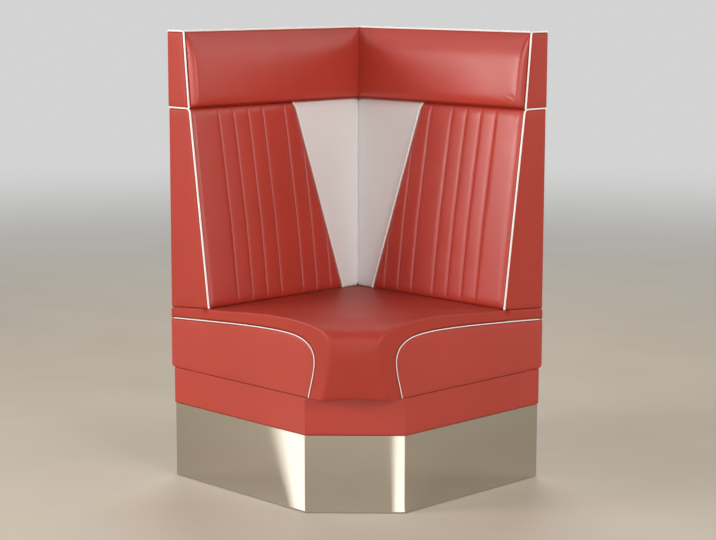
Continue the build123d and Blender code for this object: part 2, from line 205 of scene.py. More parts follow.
def rounded_path(corners: Sequence[Point], radii: Sequence[float], step: float, closed: bool = False) -> np.ndarray:
    """Straight runs joined by arcs.

    Args:
        corners: The corners of the path, in order.
        radii: The radius at each corner, the two ends included, where it is not used unless closed.
        step: Longest distance between points on an arc.
        closed: Whether the last corner joins the first.
    Returns:
        The points of the path.
    """
    knots = [np.array(c, float) for c in corners]
    out = []
    for k, here in enumerate(knots):
        if not closed and k in (0, len(knots) - 1):
            out.append(here)
            continue
        back = knots[k - 1] - here
        on = knots[(k + 1) % len(knots)] - here
        back, on = back / np.linalg.norm(back), on / np.linalg.norm(on)
        turn = pi - np.arccos(np.clip(back @ on, -1, 1))
        if radii[k] <= 0 or turn < 1e-4:
            out.append(here)
            continue
        reach = radii[k] * tan(turn / 2)
        bisector = (back + on) / np.linalg.norm(back + on)
        centre = here + bisector * radii[k] / cos(turn / 2)
        start, stop = here + back * reach, here + on * reach
        count = max(int(radii[k] * turn / step), 3)
        a0 = atan2(*(start - centre)[::-1])
        sweep = atan2(*(stop - centre)[::-1]) - a0
        sweep = (sweep + pi) % (2 * pi) - pi
        for share in np.linspace(0, 1, count + 1):
            angle = a0 + share * sweep
            out.append(centre + radii[k] * np.array((cos(angle), sin(angle))))
    return np.array(out)


def offset_path(path: np.ndarray, amount: float, closed: bool = False) -> np.ndarray:
    """The path moved to its left by amount."""
    if closed:
        along = np.roll(path, -1, 0) - np.roll(path, 1, 0)
    else:
        along = np.gradient(path, axis=0)
    along /= np.linalg.norm(along, axis=1, keepdims=True)
    return path + amount * np.stack((-along[:, 1], along[:, 0]), -1)


def distance_to(points: np.ndarray, path: np.ndarray, closed: bool = True) -> np.ndarray:
    """Distance in the plane from each point to a path."""
    start = path if closed else path[:-1]
    run = (np.roll(path, -1, 0) if closed else path[1:]) - start
    length = np.maximum((run ** 2).sum(1), 1e-12)
    best = np.full(len(points), np.inf)
    for a, r, n in zip(start, run, length):
        t = np.clip(((points - a) @ r) / n, 0, 1)
        gap = points - a - t[:, None] * r
        best = np.minimum(best, (gap ** 2).sum(1))
    return np.sqrt(best)


def inside(points: np.ndarray, outline: np.ndarray) -> np.ndarray:
    """Which points lie inside a closed outline."""
    found = np.zeros(len(points), bool)
    x, y = points[:, 0], points[:, 1]
    for (x0, y0), (x1, y1) in zip(outline, np.roll(outline, -1, 0)):
        if abs(y1 - y0) < 1e-12:
            continue
        crosses = (y0 > y) != (y1 > y)
        found ^= crosses & (x < (x1 - x0) * (y - y0) / (y1 - y0) + x0)
    return found


def bulge(x: np.ndarray, reach: float, power: float = 2.0) -> np.ndarray:
    """Quarter of an oval: 0 at an edge, 1 from reach onwards; a lower power flattens its shoulder to a bevel."""
    t = np.clip(x / reach, 0, 1)
    return np.maximum(1 - (1 - t) ** power, 0) ** (1 / power)


# Meshes


class Form:
    """Grids of points that become one closed mesh, with their shared edges merged."""

    merge: float = 0.02 * MM  # points nearer than this become one

    def __init__(self) -> None:
        """Start with nothing."""
        self.points: list[np.ndarray] = []
        self.held: list[np.ndarray] = []
        self.faces: list[tuple[int, ...]] = []
        self.count = 0

    def add(self, points: np.ndarray, faces: Iterable[Sequence[int]], held: np.ndarray) -> None:
        """Add points in metres with the faces between them, and how firmly each point is held."""
        self.faces += [tuple(int(i) + self.count for i in face) for face in faces]
        self.points.append(points.reshape(-1, 3))
        self.held.append(held.reshape(-1))
        self.count += len(self.points[-1])

    def grid(self, points: np.ndarray, held: Optional[np.ndarray] = None, ring: bool = False) -> None:
        """Add a grid of points, (rows, columns, 3); a ring joins its last column to its first."""
        rows, columns = points.shape[:2]
        faces = []
        for r in range(rows - 1):
            for c in range(columns if ring else columns - 1):
                on = (c + 1) % columns
                faces.append((r * columns + c, r * columns + on, (r + 1) * columns + on, (r + 1) * columns + c))
        self.add(points, faces, np.ones(rows * columns) if held is None else held)

    def tube(self, points: np.ndarray, held: Optional[np.ndarray] = None) -> None:
        """Add a (sections, points) grid whose sections are closed, with a cap at each end."""
        self.grid(points, held, ring=True)
        self.cap(points[0])
        self.cap(points[-1])

    def cap(self, points: np.ndarray) -> None:
        """Close a ring of points with one face."""
        self.add(points, [range(len(points))], np.ones(len(points)))

    def build(self, name: str) -> Piece:
        """Make the mesh object, at the origin, with its faces turned outwards."""
        mesh = bpy.data.meshes.new(name)
        mesh.from_pydata(np.vstack(self.points).tolist(), [], self.faces)
        mesh.attributes.new("held", "FLOAT", "POINT").data.foreach_set("value", np.concatenate(self.held))
        made = bmesh.new()
        made.from_mesh(mesh)
        bmesh.ops.remove_doubles(made, verts=made.verts, dist=self.merge)
        bmesh.ops.dissolve_degenerate(made, edges=made.edges, dist=self.merge / 4)
        bmesh.ops.triangulate(made, faces=[f for f in made.faces if len(f.verts) > 4])
        bmesh.ops.recalc_face_normals(made, faces=made.faces)
        if made.calc_volume(signed=True) < 0:
            bmesh.ops.reverse_faces(made, faces=made.faces)
        open_edges = sum(1 for e in made.edges if not e.is_manifold)
        if open_edges:
            LOG.warning("%s has %d open edges", name, open_edges)
        made.to_mesh(mesh)
        made.free()
        return finished(name, mesh)


def linked(name: str, data: bpy.types.ID) -> Piece:
    """A new object of some data, linked to the scene."""
    made = bpy.data.objects.new(name, data)
    bpy.context.scene.collection.objects.link(made)
    return made


def smoothed(mesh: bpy.types.Mesh, smooth: bool = True) -> bpy.types.Mesh:
    """The mesh with smooth or flat shading."""
    mesh.polygons.foreach_set("use_smooth", [smooth] * len(mesh.polygons))
    return mesh


def finished(name: str, mesh: bpy.types.Mesh) -> Piece:
    """A smooth-shaded object of a mesh, linked to the scene."""
    mesh.name = name
    return linked(name, smoothed(mesh))


def applied(piece: Piece) -> Piece:
    """The piece with its modifiers applied to its mesh."""
    graph = bpy.context.evaluated_depsgraph_get()
    mesh = bpy.data.meshes.new_from_object(piece.evaluated_get(graph), depsgraph=graph)
    piece.modifiers.clear()
    old = piece.data
    piece.data = mesh
    bpy.data.meshes.remove(old)
    mesh.name = piece.name
    return piece


def refined(piece: Piece) -> Piece:
    """The piece with one level of subdivision applied."""
    smooth = piece.modifiers.new("rounding", "SUBSURF")
    smooth.levels = smooth.render_levels = 1
    applied(piece)
    smoothed(piece.data)
    return piece


def corners_of(piece: Piece) -> np.ndarray:
    """The mesh's points, (n, 3), in metres."""
    out = np.empty(len(piece.data.vertices) * 3, np.float32)
    piece.data.vertices.foreach_get("co", out)
    return out.reshape(-1, 3).astype(float)


def mark_soil_and_shade(piece: Piece, seams: Sequence[np.ndarray], reach: float = 6.0, depth: float = 1.0) -> None:
    """Store how near each point is to a seam or shaded edge, for the finish to darken as soil and painted shade.

    Args:
        piece: The object to mark.
        seams: Lines in frame metres.
        reach: Distance in millimetres over which the mark fades.
        depth: The mark on the seam itself.
    """
    dots = np.vstack([resample(line, 0.002) for line in seams])
    tree = KDTree(len(dots))
    for k, dot in enumerate(dots):
        tree.insert(dot, k)
    tree.balance()
    gap = np.array([tree.find(co)[2] for co in corners_of(piece)]) / MM
    near = (depth * np.clip(1 - gap / reach, 0, 1)).astype(np.float32)
    mark = piece.data.attributes.get("seam")
    if mark is None:
        mark = piece.data.attributes.new("seam", "FLOAT", "POINT")
    else:
        marked = np.empty(len(near), np.float32)
        mark.data.foreach_get("value", marked)
        near = np.maximum(near, marked)
    mark.data.foreach_set("value", near)


@dataclass(frozen=True)
class Stuffing:
    """How a cover swells over its foam."""

    pressure: float
    cap: float
    frames: int = 20
    stiffness: float = 12.0

    def swell(self, piece: Piece) -> None:
        """Blow the cover up as cloth, held at its seams, and keep the result in the mesh."""
        mesh = piece.data
        held = np.empty(len(mesh.vertices), np.float32)
        mesh.attributes["held"].data.foreach_get("value", held)
        group = piece.vertex_groups.new(name="held")
        for k, weight in enumerate(held):
            group.add([k], float(weight), "REPLACE")
        cloth = piece.modifiers.new("cover", "CLOTH")
        cloth.point_cache.frame_start, cloth.point_cache.frame_end = 1, self.frames
        cloth.settings.quality = 5
        cloth.settings.vertex_group_mass = "held"
        cloth.settings.use_pressure = True
        cloth.settings.uniform_pressure_force = self.pressure
        cloth.settings.tension_stiffness = cloth.settings.compression_stiffness = self.stiffness
        cloth.settings.bending_stiffness = 1.0
        cloth.settings.effector_weights.gravity = 0
        cloth.collision_settings.use_collision = False
        scene = bpy.context.scene
        for step in range(1, self.frames + 1):
            scene.frame_set(step)
        graph = bpy.context.evaluated_depsgraph_get()
        blown = piece.evaluated_get(graph).to_mesh()
        new = np.empty(len(mesh.vertices) * 3, np.float32)
        blown.vertices.foreach_get("co", new)
        piece.modifiers.clear()
        piece.vertex_groups.clear()
        scene.frame_set(1)
        old = corners_of(piece)
        move = new.reshape(-1, 3) - old
        size = np.linalg.norm(move, axis=1)
        LOG.info("%s swells by up to %.1f mm, %.1f on average", piece.name, size.max() / MM,
                 size[held < 0.5].mean() / MM if (held < 0.5).any() else 0)
        limit = self.cap * MM
        keep = limit * np.tanh(size / limit) / np.maximum(size, TINY)
        mesh.vertices.foreach_set("co", (old + move * keep[:, None]).astype(np.float32).ravel())
        mesh.update()


@dataclass
class Pad:
    """A padded face over a flat back, inside a closed outline.

    The outline and all lines are in the pad's own plane, in millimetres, and heights stand out of it.
    """

    name: str
    outline: np.ndarray
    place: Place
    height: Callable[[np.ndarray, np.ndarray], np.ndarray]
    back: float
    columns: Optional[np.ndarray] = None
    step: float = 7.0
    creases: Sequence[float] = ()
    crease_reach: float = 2.0
    edge_step: float = 4.0
    rings: tuple[float, ...] = (1.2, 3.2, 6.4)

    def crease_gap(self, points: np.ndarray) -> np.ndarray:
        """Distance from each point to the nearest crease."""
        near = np.full(len(points), np.inf)
        for crease in self.creases:
            near = np.minimum(near, np.abs(points[:, 0] - crease))
        return near

    def build(self) -> Piece:
        """Fill the outline with triangles, raise them and close the sides and the back."""
        edge = resample(self.outline, self.edge_step, closed=True)
        if (edge[:, 0] * np.roll(edge[:, 1], -1) - np.roll(edge[:, 0], -1) * edge[:, 1]).sum() < 0:
            edge = edge[::-1]
        flat = [edge]
        for inset in self.rings:
            ring = offset_path(edge, inset, closed=True)
            flat.append(ring[(distance_to(ring, edge) > 0.93 * inset) & inside(ring, edge)])
        margin = self.rings[-1] * 1.45
        low, high = edge.min(0), edge.max(0)
        across = np.arange(low[0], high[0], self.step) if self.columns is None else self.columns
        up = np.linspace(low[1], high[1], max(int((high[1] - low[1]) / self.step), 2))
        grid = np.stack(np.meshgrid(across, up, indexing="ij"), -1).reshape(-1, 2)
        grid = grid[inside(grid, edge)]
        gap = distance_to(grid, edge)
        flat.append(grid[(gap > margin) | ((self.crease_gap(grid) < self.crease_reach) & (gap > 1.0))])
        points = [Vector(p) for p in np.vstack(flat)]
        count = len(edge)
        loop = [(k, (k + 1) % count) for k in range(count)]
        found, _, faces, *_ = delaunay_2d_cdt(points, loop, [], 1, 1e-4)
        found = np.array([tuple(p) for p in found])
        gap = distance_to(found, edge)
        held = np.where((gap < 2.0) | (self.crease_gap(found) < 0.3), 1.0, 0.0)
        form = Form()
        form.add(self.place(np.column_stack((found, self.height(found, gap)))), faces, held)
        edge_heights = self.height(edge, np.zeros(count))
        walls = [np.column_stack((edge, edge_heights + share * (self.back - edge_heights))) for share in (0, 0.5, 1)]
        form.grid(self.place(np.stack(walls)), ring=True)
        form.cap(self.place(walls[-1]))
        return form.build(self.name)


# Repeated pieces and pieces along a path, made by node trees


class Nodes:
    """A node tree that is being put together."""

    def __init__(self, tree: bpy.types.NodeTree) -> None:
        """Keep the tree."""
        self.tree = tree

    def feed(self, socket: Socket, value: object) -> None:
        """Join an input to another node's output, or set its value."""
        if isinstance(value, Socket):
            self.tree.links.new(value, socket)
        else:
            socket.default_value = value

    def node(self, kind: str, inputs: Optional[dict] = None, **settings: object) -> bpy.types.Node:
        """Add a node, set its properties and feed its inputs."""
        made = self.tree.nodes.new(kind)
        for key, value in settings.items():
            setattr(made, key, value)
        for key, value in (inputs or {}).items():
            self.feed(made.inputs[key], value)
        return made

    def wire(self, kind: str, inputs: Optional[dict] = None, **settings: object) -> Socket:
        """Add a node and take its first output."""
        return self.node(kind, inputs, **settings).outputs[0]

    def math(self, how: str, a: object, b: object) -> Socket:
        """Two values put together in one of the Math node's ways."""
        return self.wire("ShaderNodeMath", {0: a, 1: b}, operation=how)


class NodeRun(Nodes):
    """A Geometry Nodes tree with named inputs, run on a line or on loose points."""

    def __init__(self, name: str, inputs: Sequence[tuple[str, str]]) -> None:
        """Start a tree that takes geometry, the named inputs, each with its kind of socket, and a material."""
        super().__init__(bpy.data.node_groups.new(name, "GeometryNodeTree"))
        for label, kind in (("Geometry", "Geometry"), *inputs, ("Material", "Material")):
            self.tree.interface.new_socket(label, in_out="INPUT", socket_type=f"NodeSocket{kind}")
        self.tree.interface.new_socket("Geometry", in_out="OUTPUT", socket_type="NodeSocketGeometry")
        self.given = self.tree.nodes.new("NodeGroupInput").outputs

    def points_along(self, spacing: Socket) -> Socket:
        """The given line as a curve with even points."""
        line = self.wire("GeometryNodeMeshToCurve", {"Mesh": self.given["Geometry"]})
        return self.wire("GeometryNodeResampleCurve", {"Curve": line, "Length": spacing}, mode="LENGTH")

    def stand(self, shape: Socket, points: Socket, facing: Socket, **more: Socket) -> Socket:
        """The shape on each point, its own upright turned to a direction."""
        turn = self.wire("FunctionNodeAlignRotationToVector", {"Vector": facing}, axis="Z")
        return self.wire("GeometryNodeInstanceOnPoints", {"Points": points, "Instance": shape, "Rotation": turn,
                                                          **more})

    def unsettle(self, shapes: Socket, least: Sequence[float], most: Sequence[float]) -> Socket:
        """The standing shapes, each turned at random between two rotations."""
        turn = self.wire("FunctionNodeRandomValue", {0: least, 1: most, "Seed": self.given["Seed"]},
                         data_type="FLOAT_VECTOR")
        return self.wire("GeometryNodeRotateInstances", {"Instances": shapes, "Rotation": turn})

    def finish(self, geometry: Socket) -> None:
        """End the tree: realize the instances and give them the material."""
        real = self.wire("GeometryNodeRealizeInstances", {"Geometry": geometry})
        coat = self.wire("GeometryNodeSetMaterial", {"Geometry": real, "Material": self.given["Material"]})
        self.node("NodeGroupOutput", {"Geometry": coat})

    def run(self, name: str, lines: Sequence[np.ndarray], **values: object) -> Piece:
        """Run the tree.

        Args:
            name: Name of the finished piece.
            lines: Lines in frame metres, each (n, 3); a line of one point is a loose point.
            values: The named inputs, with spaces written as underscores.
        Returns:
            The finished piece, a plain mesh object.
        """
        points, edges = [], []
        for line in lines:
            start = len(points)
            points += [tuple(p) for p in line]
            edges += [(start + k, start + k + 1) for k in range(len(line) - 1)]
        mesh = bpy.data.meshes.new(name)
        mesh.from_pydata(points, edges, [])
        source = linked(f"{name}_path", mesh)
        maker = source.modifiers.new("maker", "NODES")
        maker.node_group = self.tree
        known = {item.name: item.identifier for item in self.tree.interface.items_tree if item.in_out == "INPUT"}
        for key, value in values.items():
            maker[known[key.replace("_", " ")]] = value
        graph = bpy.context.evaluated_depsgraph_get()
        made = bpy.data.meshes.new_from_object(source.evaluated_get(graph), depsgraph=graph)
        source.modifiers.clear()
        bpy.data.objects.remove(source)
        return finished(name, made)


def piping_tree() -> NodeRun:
    """Tree that draws round piping along a line, a little uneven as a wrapped cord is."""
    run = NodeRun("piping", [("Cord radius", "Float"), ("Step", "Float"), ("Unevenness", "Float"), ("Seed", "Float")])
    given = run.given
    place = run.wire("GeometryNodeInputPosition")
    wobble = run.wire("ShaderNodeTexNoise", {"Vector": place, "W": given["Seed"], "Scale": 60.0, "Detail": 2.0},
                      noise_dimensions="4D")
    grown = run.math("MULTIPLY", run.math("SUBTRACT", wobble, 0.5), given["Unevenness"])
    ring = run.wire("GeometryNodeCurvePrimitiveCircle", {"Radius": given["Cord radius"], "Resolution": 14})
    run.finish(run.wire("GeometryNodeCurveToMesh", {"Curve": run.points_along(given["Step"]), "Profile Curve": ring,
                                                    "Scale": run.math("ADD", grown, 1.0), "Fill Caps": True}))
    return run


def stitch_tree() -> NodeRun:
    """Tree that lays a row of thread stitches along a line."""
    run = NodeRun("stitches", [("Pitch", "Float"), ("Stitch length", "Float"), ("Thread radius", "Float")])
    given = run.given
    bead = run.wire("GeometryNodeMeshUVSphere", {"Segments": 6, "Rings": 4, "Radius": 1.0})
    size = run.wire("ShaderNodeCombineXYZ", {"X": given["Thread radius"], "Y": given["Thread radius"],
                                             "Z": run.math("MULTIPLY", given["Stitch length"], 0.5)})
    run.finish(run.stand(bead, run.points_along(given["Pitch"]), run.wire("GeometryNodeInputTangent"), Scale=size))
    return run


def screw_tree() -> NodeRun:
    """Tree that sets a countersunk cross-recess screw head on each point."""
    run = NodeRun("screws", [("Head radius", "Float"), ("Facing", "Vector"), ("Seed", "Int")])

    def part(share: float) -> Socket:
        """A share of the head's radius."""
        return run.math("MULTIPLY", run.given["Head radius"], share)

    head = run.wire("GeometryNodeMeshCone", {"Vertices": 18, "Radius Top": part(0.72), "Radius Bottom": part(1.0),
                                             "Depth": part(0.26)})
    cut = run.node("GeometryNodeMeshBoolean", {0: head}, operation="DIFFERENCE")
    for long, short in ((1.1, 0.24), (0.24, 1.1)):
        size = run.wire("ShaderNodeCombineXYZ", {"X": part(long), "Y": part(short), "Z": part(0.36)})
        lift = run.wire("ShaderNodeCombineXYZ", {"Z": part(0.26)})
        bar = run.wire("GeometryNodeMeshCube", {"Size": size})
        run.feed(cut.inputs[1], run.wire("GeometryNodeTransform", {"Geometry": bar, "Translation": lift}))
    heads = run.stand(cut.outputs[0], run.given["Geometry"], run.given["Facing"])
    run.finish(run.unsettle(heads, (0.0, 0.0, 0.0), (0.0, 0.0, 3.0)))
    return run


def staple_tree() -> NodeRun:
    """Tree that drives wire staples along a line, each a little out of true."""
    run = NodeRun("staples", [("Pitch", "Float"), ("Crown", "Float"), ("Wire", "Float"), ("Seed", "Int")])
    given = run.given
    crown = run.wire("GeometryNodeMeshCylinder", {"Vertices": 6, "Radius": run.math("MULTIPLY", given["Wire"], 0.5),
                                                  "Depth": given["Crown"]})
    driven = run.stand(crown, run.points_along(given["Pitch"]), run.wire("GeometryNodeInputTangent"))
    run.finish(run.unsettle(driven, (-0.1, -0.1, 0.0), (0.1, 0.1, 0.0)))
    return run


# Finishes


def shade(color: Sequence[float], factor: float) -> tuple[float, float, float, float]:
    """A colour made lighter or darker, with full alpha."""
    return tuple(min(max(c * factor, 0.0), 1.0) for c in color[:3]) + (1.0,)


class Paint(Nodes):
    """The nodes of one material."""

    def __init__(self, name: str) -> None:
        """Start a material with a Principled shader and object coordinates."""
        self.material = bpy.data.materials.new(name)
        self.material.use_nodes = True
        super().__init__(self.material.node_tree)
        self.tree.nodes.clear()
        self.shader = self.node("ShaderNodeBsdfPrincipled")
        self.output = self.node("ShaderNodeOutputMaterial", {"Surface": self.shader.outputs[0]}, is_active_output=True)
        self.where = self.node("ShaderNodeTexCoord").outputs["Object"]

    def noise(self, scale: float, detail: float = 3.0, rough: float = 0.5, where: Optional[Socket] = None) -> Socket:
        """Noise over the object, as a value about 0.5."""
        return self.wire("ShaderNodeTexNoise", {"Vector": where or self.where, "Scale": scale, "Detail": detail,
                                                "Roughness": rough})

    def spread(self, value: Socket, low: float, high: float, to_low: float = 0.0, to_high: float = 1.0) -> Socket:
        """A value mapped from one range to another, and kept inside it."""
        return self.wire("ShaderNodeMapRange", {"Value": value, "From Min": low, "From Max": high, "To Min": to_low,
                                                "To Max": to_high})

    def mix(self, share: object, a: object, b: object) -> Socket:
        """A mix of two colours."""
        return self.node("ShaderNodeMix", {0: share, 6: a, 7: b}, data_type="RGBA").outputs[2]

    def bump(self, height: Socket, strength: float, depth: float, under: Optional[Socket] = None) -> Socket:
        """Bumps of a depth in millimetres, over others."""
        inputs = {"Height": height, "Strength": strength, "Distance": depth * MM}
        if under is not None:
            inputs["Normal"] = under
        return self.wire("ShaderNodeBump", inputs)

    def mapped(self, scale: Sequence[float], turn: Sequence[float] = (0, 0, 0)) -> Socket:
        """Object coordinates turned and stretched."""
        return self.wire("ShaderNodeMapping", {"Vector": self.where, "Rotation": turn, "Scale": scale})

    def along(self, direction: Sequence[float]) -> Socket:
        """Distance along a direction, in metres."""
        return self.node("ShaderNodeVectorMath", {0: self.where, 1: direction},
                         operation="DOT_PRODUCT").outputs["Value"]

    def attribute(self, name: str) -> Socket:
        """A value stored on the mesh."""
        return self.node("ShaderNodeAttribute", attribute_name=name).outputs["Fac"]

    def finish(self, **inputs: object) -> Material:
        """Feed the shader's inputs, with spaces in their names written as underscores, and give the material."""
        for key, value in inputs.items():
            self.feed(self.shader.inputs[key.replace("_", " ")], value)
        return self.material

    def blend(self, share: Socket, under: Socket, over: Socket) -> Material:
        """Show a mix of two shaders, and give the material."""
        self.feed(self.output.inputs["Surface"], self.wire("ShaderNodeMixShader", {0: share, 1: under, 2: over}))
        return self.material


@dataclass(frozen=True)
class Vinyl:
    """Coated upholstery fabric with a fine pebbled grain.

    Its roughness stays above 0.29: below that the denoiser takes it for a mirror, and leaves dark specks.
    """

    name: str
    color: Triple
    roughness: float = 0.42
    grain: float = 0.3
    soil_and_shade: float = 0.45
    variation: float = 0.05
    gloss: float = 0.5
    unevenness: float = 0.04

    def material(self) -> Material:
        """Nodes: slow tone changes, soil and painted shade in the seams and along shaded edges, pebble grain and soft
        creases.
        """
        paint = Paint(self.name)
        slow = paint.spread(paint.noise(3.5, 4.0, 0.55), 0.35, 0.65)
        fine = paint.spread(paint.noise(38.0, 5.0, 0.6), 0.3, 0.7)
        tone = paint.mix(slow, shade(self.color, 1 - self.variation), shade(self.color, 1 + self.variation))
        tone = paint.mix(paint.math("MULTIPLY", fine, 0.25), tone, shade(self.color, 1 - 2 * self.variation))
        # Soil and painted shade: the colour darkens towards the marked seams and shaded edges, and the gloss drops
        # there.
        near = paint.attribute("seam")
        soil_and_shade_share = paint.math("MULTIPLY", paint.math("MULTIPLY", near, near), self.soil_and_shade)
        tone = paint.mix(soil_and_shade_share, tone, shade(self.color, 0.35))
        cells = paint.node("ShaderNodeTexVoronoi", {"Vector": paint.where, "Scale": 720.0, "Randomness": 0.9},
                           feature="SMOOTH_F1")
        pebble = paint.math("ADD", cells.outputs["Distance"], paint.math("MULTIPLY", paint.noise(900.0, 2.0), 0.4))
        creases = paint.bump(paint.noise(26.0, 5.0, 0.6), 0.10, 1.2)
        grain = paint.bump(pebble, self.grain, 0.12, creases)
        rough = paint.spread(paint.noise(14.0, 4.0), 0.3, 0.7, self.roughness - self.unevenness,
                             self.roughness + self.unevenness)
        rough = paint.math("ADD", rough, paint.math("MULTIPLY", near, 0.1))
        gloss = paint.spread(near, 0.35, 0.8, self.gloss, 0.0)
        return paint.finish(Base_Color=tone, Roughness=rough, Normal=grain, Specular_IOR_Level=gloss)


@dataclass(frozen=True)
class Thread:
    """Polyester sewing thread."""

    name: str
    color: Triple

    def material(self) -> Material:
        """Nodes: twisted strands and a slight change of tone."""
        paint = Paint(self.name)
        twist = paint.node("ShaderNodeTexWave", {"Vector": paint.mapped((1, 1, 1), (0.5, 0.4, 0.0)), "Scale": 900.0,
                                                 "Distortion": 1.0})
        tone = paint.mix(twist.outputs["Fac"], shade(self.color, 0.75), shade(self.color, 1.15))
        return paint.finish(Base_Color=tone, Roughness=0.6, Normal=paint.bump(twist.outputs["Fac"], 0.3, 0.1))


@dataclass(frozen=True)
class Steel:
    """Stainless sheet, polished to a mirror, with cleaning marks that smear and scratch its gloss."""

    name: str
    # Darker and warmer than bare steel: partly the sheet's own tint, partly a painted reflection of darker, warmer
    # surroundings than the studio has.
    color: Triple = (0.505, 0.468, 0.405)
    roughness: float = 0.045
    waviness: float = 0.12
    smeared: float = 0.035
    scratched: float = 0.02

    def material(self) -> Material:
        """Nodes: faint smears in the gloss, hair scratches and a slow waviness of the sheet."""
        paint = Paint(self.name)
        smear = paint.spread(paint.noise(9.0, 5.0, 0.6), 0.42, 0.7)
        scratch = paint.noise(60.0, 4.0, 0.7, paint.mapped((1.0, 1.0, 40.0)))
        rough = paint.math("ADD", paint.math("MULTIPLY", smear, self.smeared), self.roughness)
        rough = paint.math("ADD", rough, paint.math("MULTIPLY", scratch, self.scratched))
        tone = paint.mix(smear, shade(self.color, 1.0), shade(self.color, 0.975))
        slow = paint.bump(paint.noise(5.0, 1.0), 1.0, self.waviness)
        return paint.finish(Base_Color=tone, Metallic=1.0, Roughness=rough,
                            Normal=paint.bump(scratch, 0.02, 0.05, slow))


@dataclass(frozen=True)
class Zinc:
    """Zinc-plated fixings."""

    name: str
    color: Triple = (0.55, 0.56, 0.57)

    def material(self) -> Material:
        """Nodes: dull patches and a fine orange-peel surface."""
        paint = Paint(self.name)
        dull = paint.noise(160.0, 4.0)
        return paint.finish(Base_Color=paint.mix(dull, shade(self.color, 0.8), shade(self.color, 1.15)), Metallic=1.0,
                            Roughness=paint.spread(dull, 0.3, 0.7, 0.28, 0.5), Normal=paint.bump(dull, 0.15, 0.1))


@dataclass(frozen=True)
class Nylon:
    """Black moulded nylon."""

    name: str
    color: Triple = (0.012, 0.012, 0.013)

    def material(self) -> Material:
        """Nodes: moulded texture and scuffs."""
        paint = Paint(self.name)
        spots = paint.noise(500.0, 3.0)
        scuff = paint.spread(paint.noise(90.0, 4.0), 0.55, 0.7)
        tone = paint.mix(scuff, shade(self.color, 1.0), shade(self.color, 4.0))
        return paint.finish(Base_Color=tone, Roughness=paint.spread(spots, 0.3, 0.7, 0.45, 0.65),
                            Normal=paint.bump(spots, 0.2, 0.1))


@dataclass(frozen=True)
class Plywood:
    """Birch plywood: long grain on its faces and plies on its edges."""

    name: str
    thick: Triple
    along: Triple
    offset: float = 0.0
    ply: float = 1.8
    stretch: float = 0.94
    light: Triple = (0.60, 0.42, 0.24)
    dark: Triple = (0.36, 0.21, 0.10)

    def material(self) -> Material:
        """Nodes: plies counted across the thickness, streaks along the grain, knots and sanding marks."""
        paint = Paint(self.name)
        depth = paint.math("SUBTRACT", paint.along(self.thick), self.offset * MM)
        side = paint.math("FLOORED_MODULO", paint.math("DIVIDE", depth, self.ply * MM), 2.0)
        layer = paint.math("GREATER_THAN", side, 1.0)
        squeeze = tuple(-self.stretch * share for share in self.along)
        pulled = paint.wire("ShaderNodeVectorMath", {0: squeeze, "Scale": paint.along(self.along)}, operation="SCALE")
        at = paint.wire("ShaderNodeVectorMath", {0: paint.where, 1: pulled}, operation="ADD")
        streak = paint.noise(70.0, 6.0, 0.65, at)
        figure = paint.noise(9.0, 3.0, 0.5, at)
        rings = paint.node("ShaderNodeTexWave", {"Vector": at, "Scale": 7.0, "Distortion": 9.0, "Detail": 3.0},
                           wave_type="RINGS")
        face = paint.mix(paint.spread(streak, 0.3, 0.7, 0.0, 0.55), self.light + (1.0,), self.dark + (1.0,))
        face = paint.mix(paint.math("MULTIPLY", rings.outputs["Fac"], 0.16), face, shade(self.dark, 0.9))
        face = paint.mix(paint.spread(figure, 0.4, 0.7, 0.0, 0.22), face, shade(self.light, 1.25))
        tone = paint.mix(paint.math("MULTIPLY", layer, 0.55), face, shade(self.dark, 0.85))
        return paint.finish(Base_Color=tone, Roughness=paint.spread(streak, 0.3, 0.7, 0.55, 0.75),
                            Normal=paint.bump(streak, 0.25, 0.25))


@dataclass(frozen=True)
class Finish:
    """A material and the record's slot that it is for."""

    material: Material
    slot: str


class Finishes:
    """Every material of the bench, made once."""

    def __init__(self) -> None:
        """Make the materials."""
        self.red = Finish(Vinyl("red_vinyl", (0.49, 0.046, 0.028), 0.345, gloss=0.5).material(), "red_vinyl")
        # A duller copy of the red vinyl, its colour darkened by about a tenth as painted shade on the seat and the flat
        # ends.
        self.shaded_matt = Finish(Vinyl("shaded_matt_red_vinyl", (0.445, 0.042, 0.025), 0.46, gloss=0.3).material(), "red_vinyl")
        self.pale = Finish(Vinyl("pale_vinyl", (0.835, 0.825, 0.805), 0.45, 0.25, 0.35, 0.025).material(), "pale_vinyl")
        self.piping = Finish(Vinyl("piping_vinyl", (0.98, 0.92, 0.87), 0.36, 0.12, 0.2, 0.03, 0.9).material(),
                             "piping_vinyl")
        self.thread = Finish(Thread("red_thread", (0.30, 0.025, 0.018)).material(), "red_vinyl")
        self.steel = Finish(Steel("mirror_steel").material(), "polished_steel")
        self.zinc = Finish(Zinc("zinc_plating").material(), "zinc_steel")
        self.nylon = Nylon("black_nylon").material()
        lean = BENCH.rake
        diagonal = 1 / ROOT_TWO
        self.woods = {
            "x": Plywood("plywood_x", (1, 0, 0), (0, 1, 0), -337.1).material(),
            "y": Plywood("plywood_y", (0, 1, 0), (1, 0, 0), -337.1).material(),
            "z": Plywood("plywood_z", (0, 0, 1), (1, 0, 0), 285.1).material(),
            "front": Plywood("plywood_front", (diagonal, -diagonal, 0), (diagonal, diagonal, 0), 342.9).material(),
            "brace": Plywood("plywood_brace", (diagonal, diagonal, 0), (diagonal, -diagonal, 0), 0.9).material(),
            "left": Plywood("plywood_left", (cos(lean), 0, sin(lean)), (0, 1, 0), 0.0).material(),
            "right": Plywood("plywood_right", (0, -cos(lean), sin(lean)), (1, 0, 0), 0.0).material(),
            "post": Plywood("soft_wood", (1, 0, 0), (0, 0, 1), -337.1, 400.0).material(),
        }


def dress(piece: Piece, material: Material) -> None:
    """Give a piece one material."""
    if piece.data.materials:
        for k in range(len(piece.data.materials)):
            piece.data.materials[k] = material
    else:
        piece.data.materials.append(material)


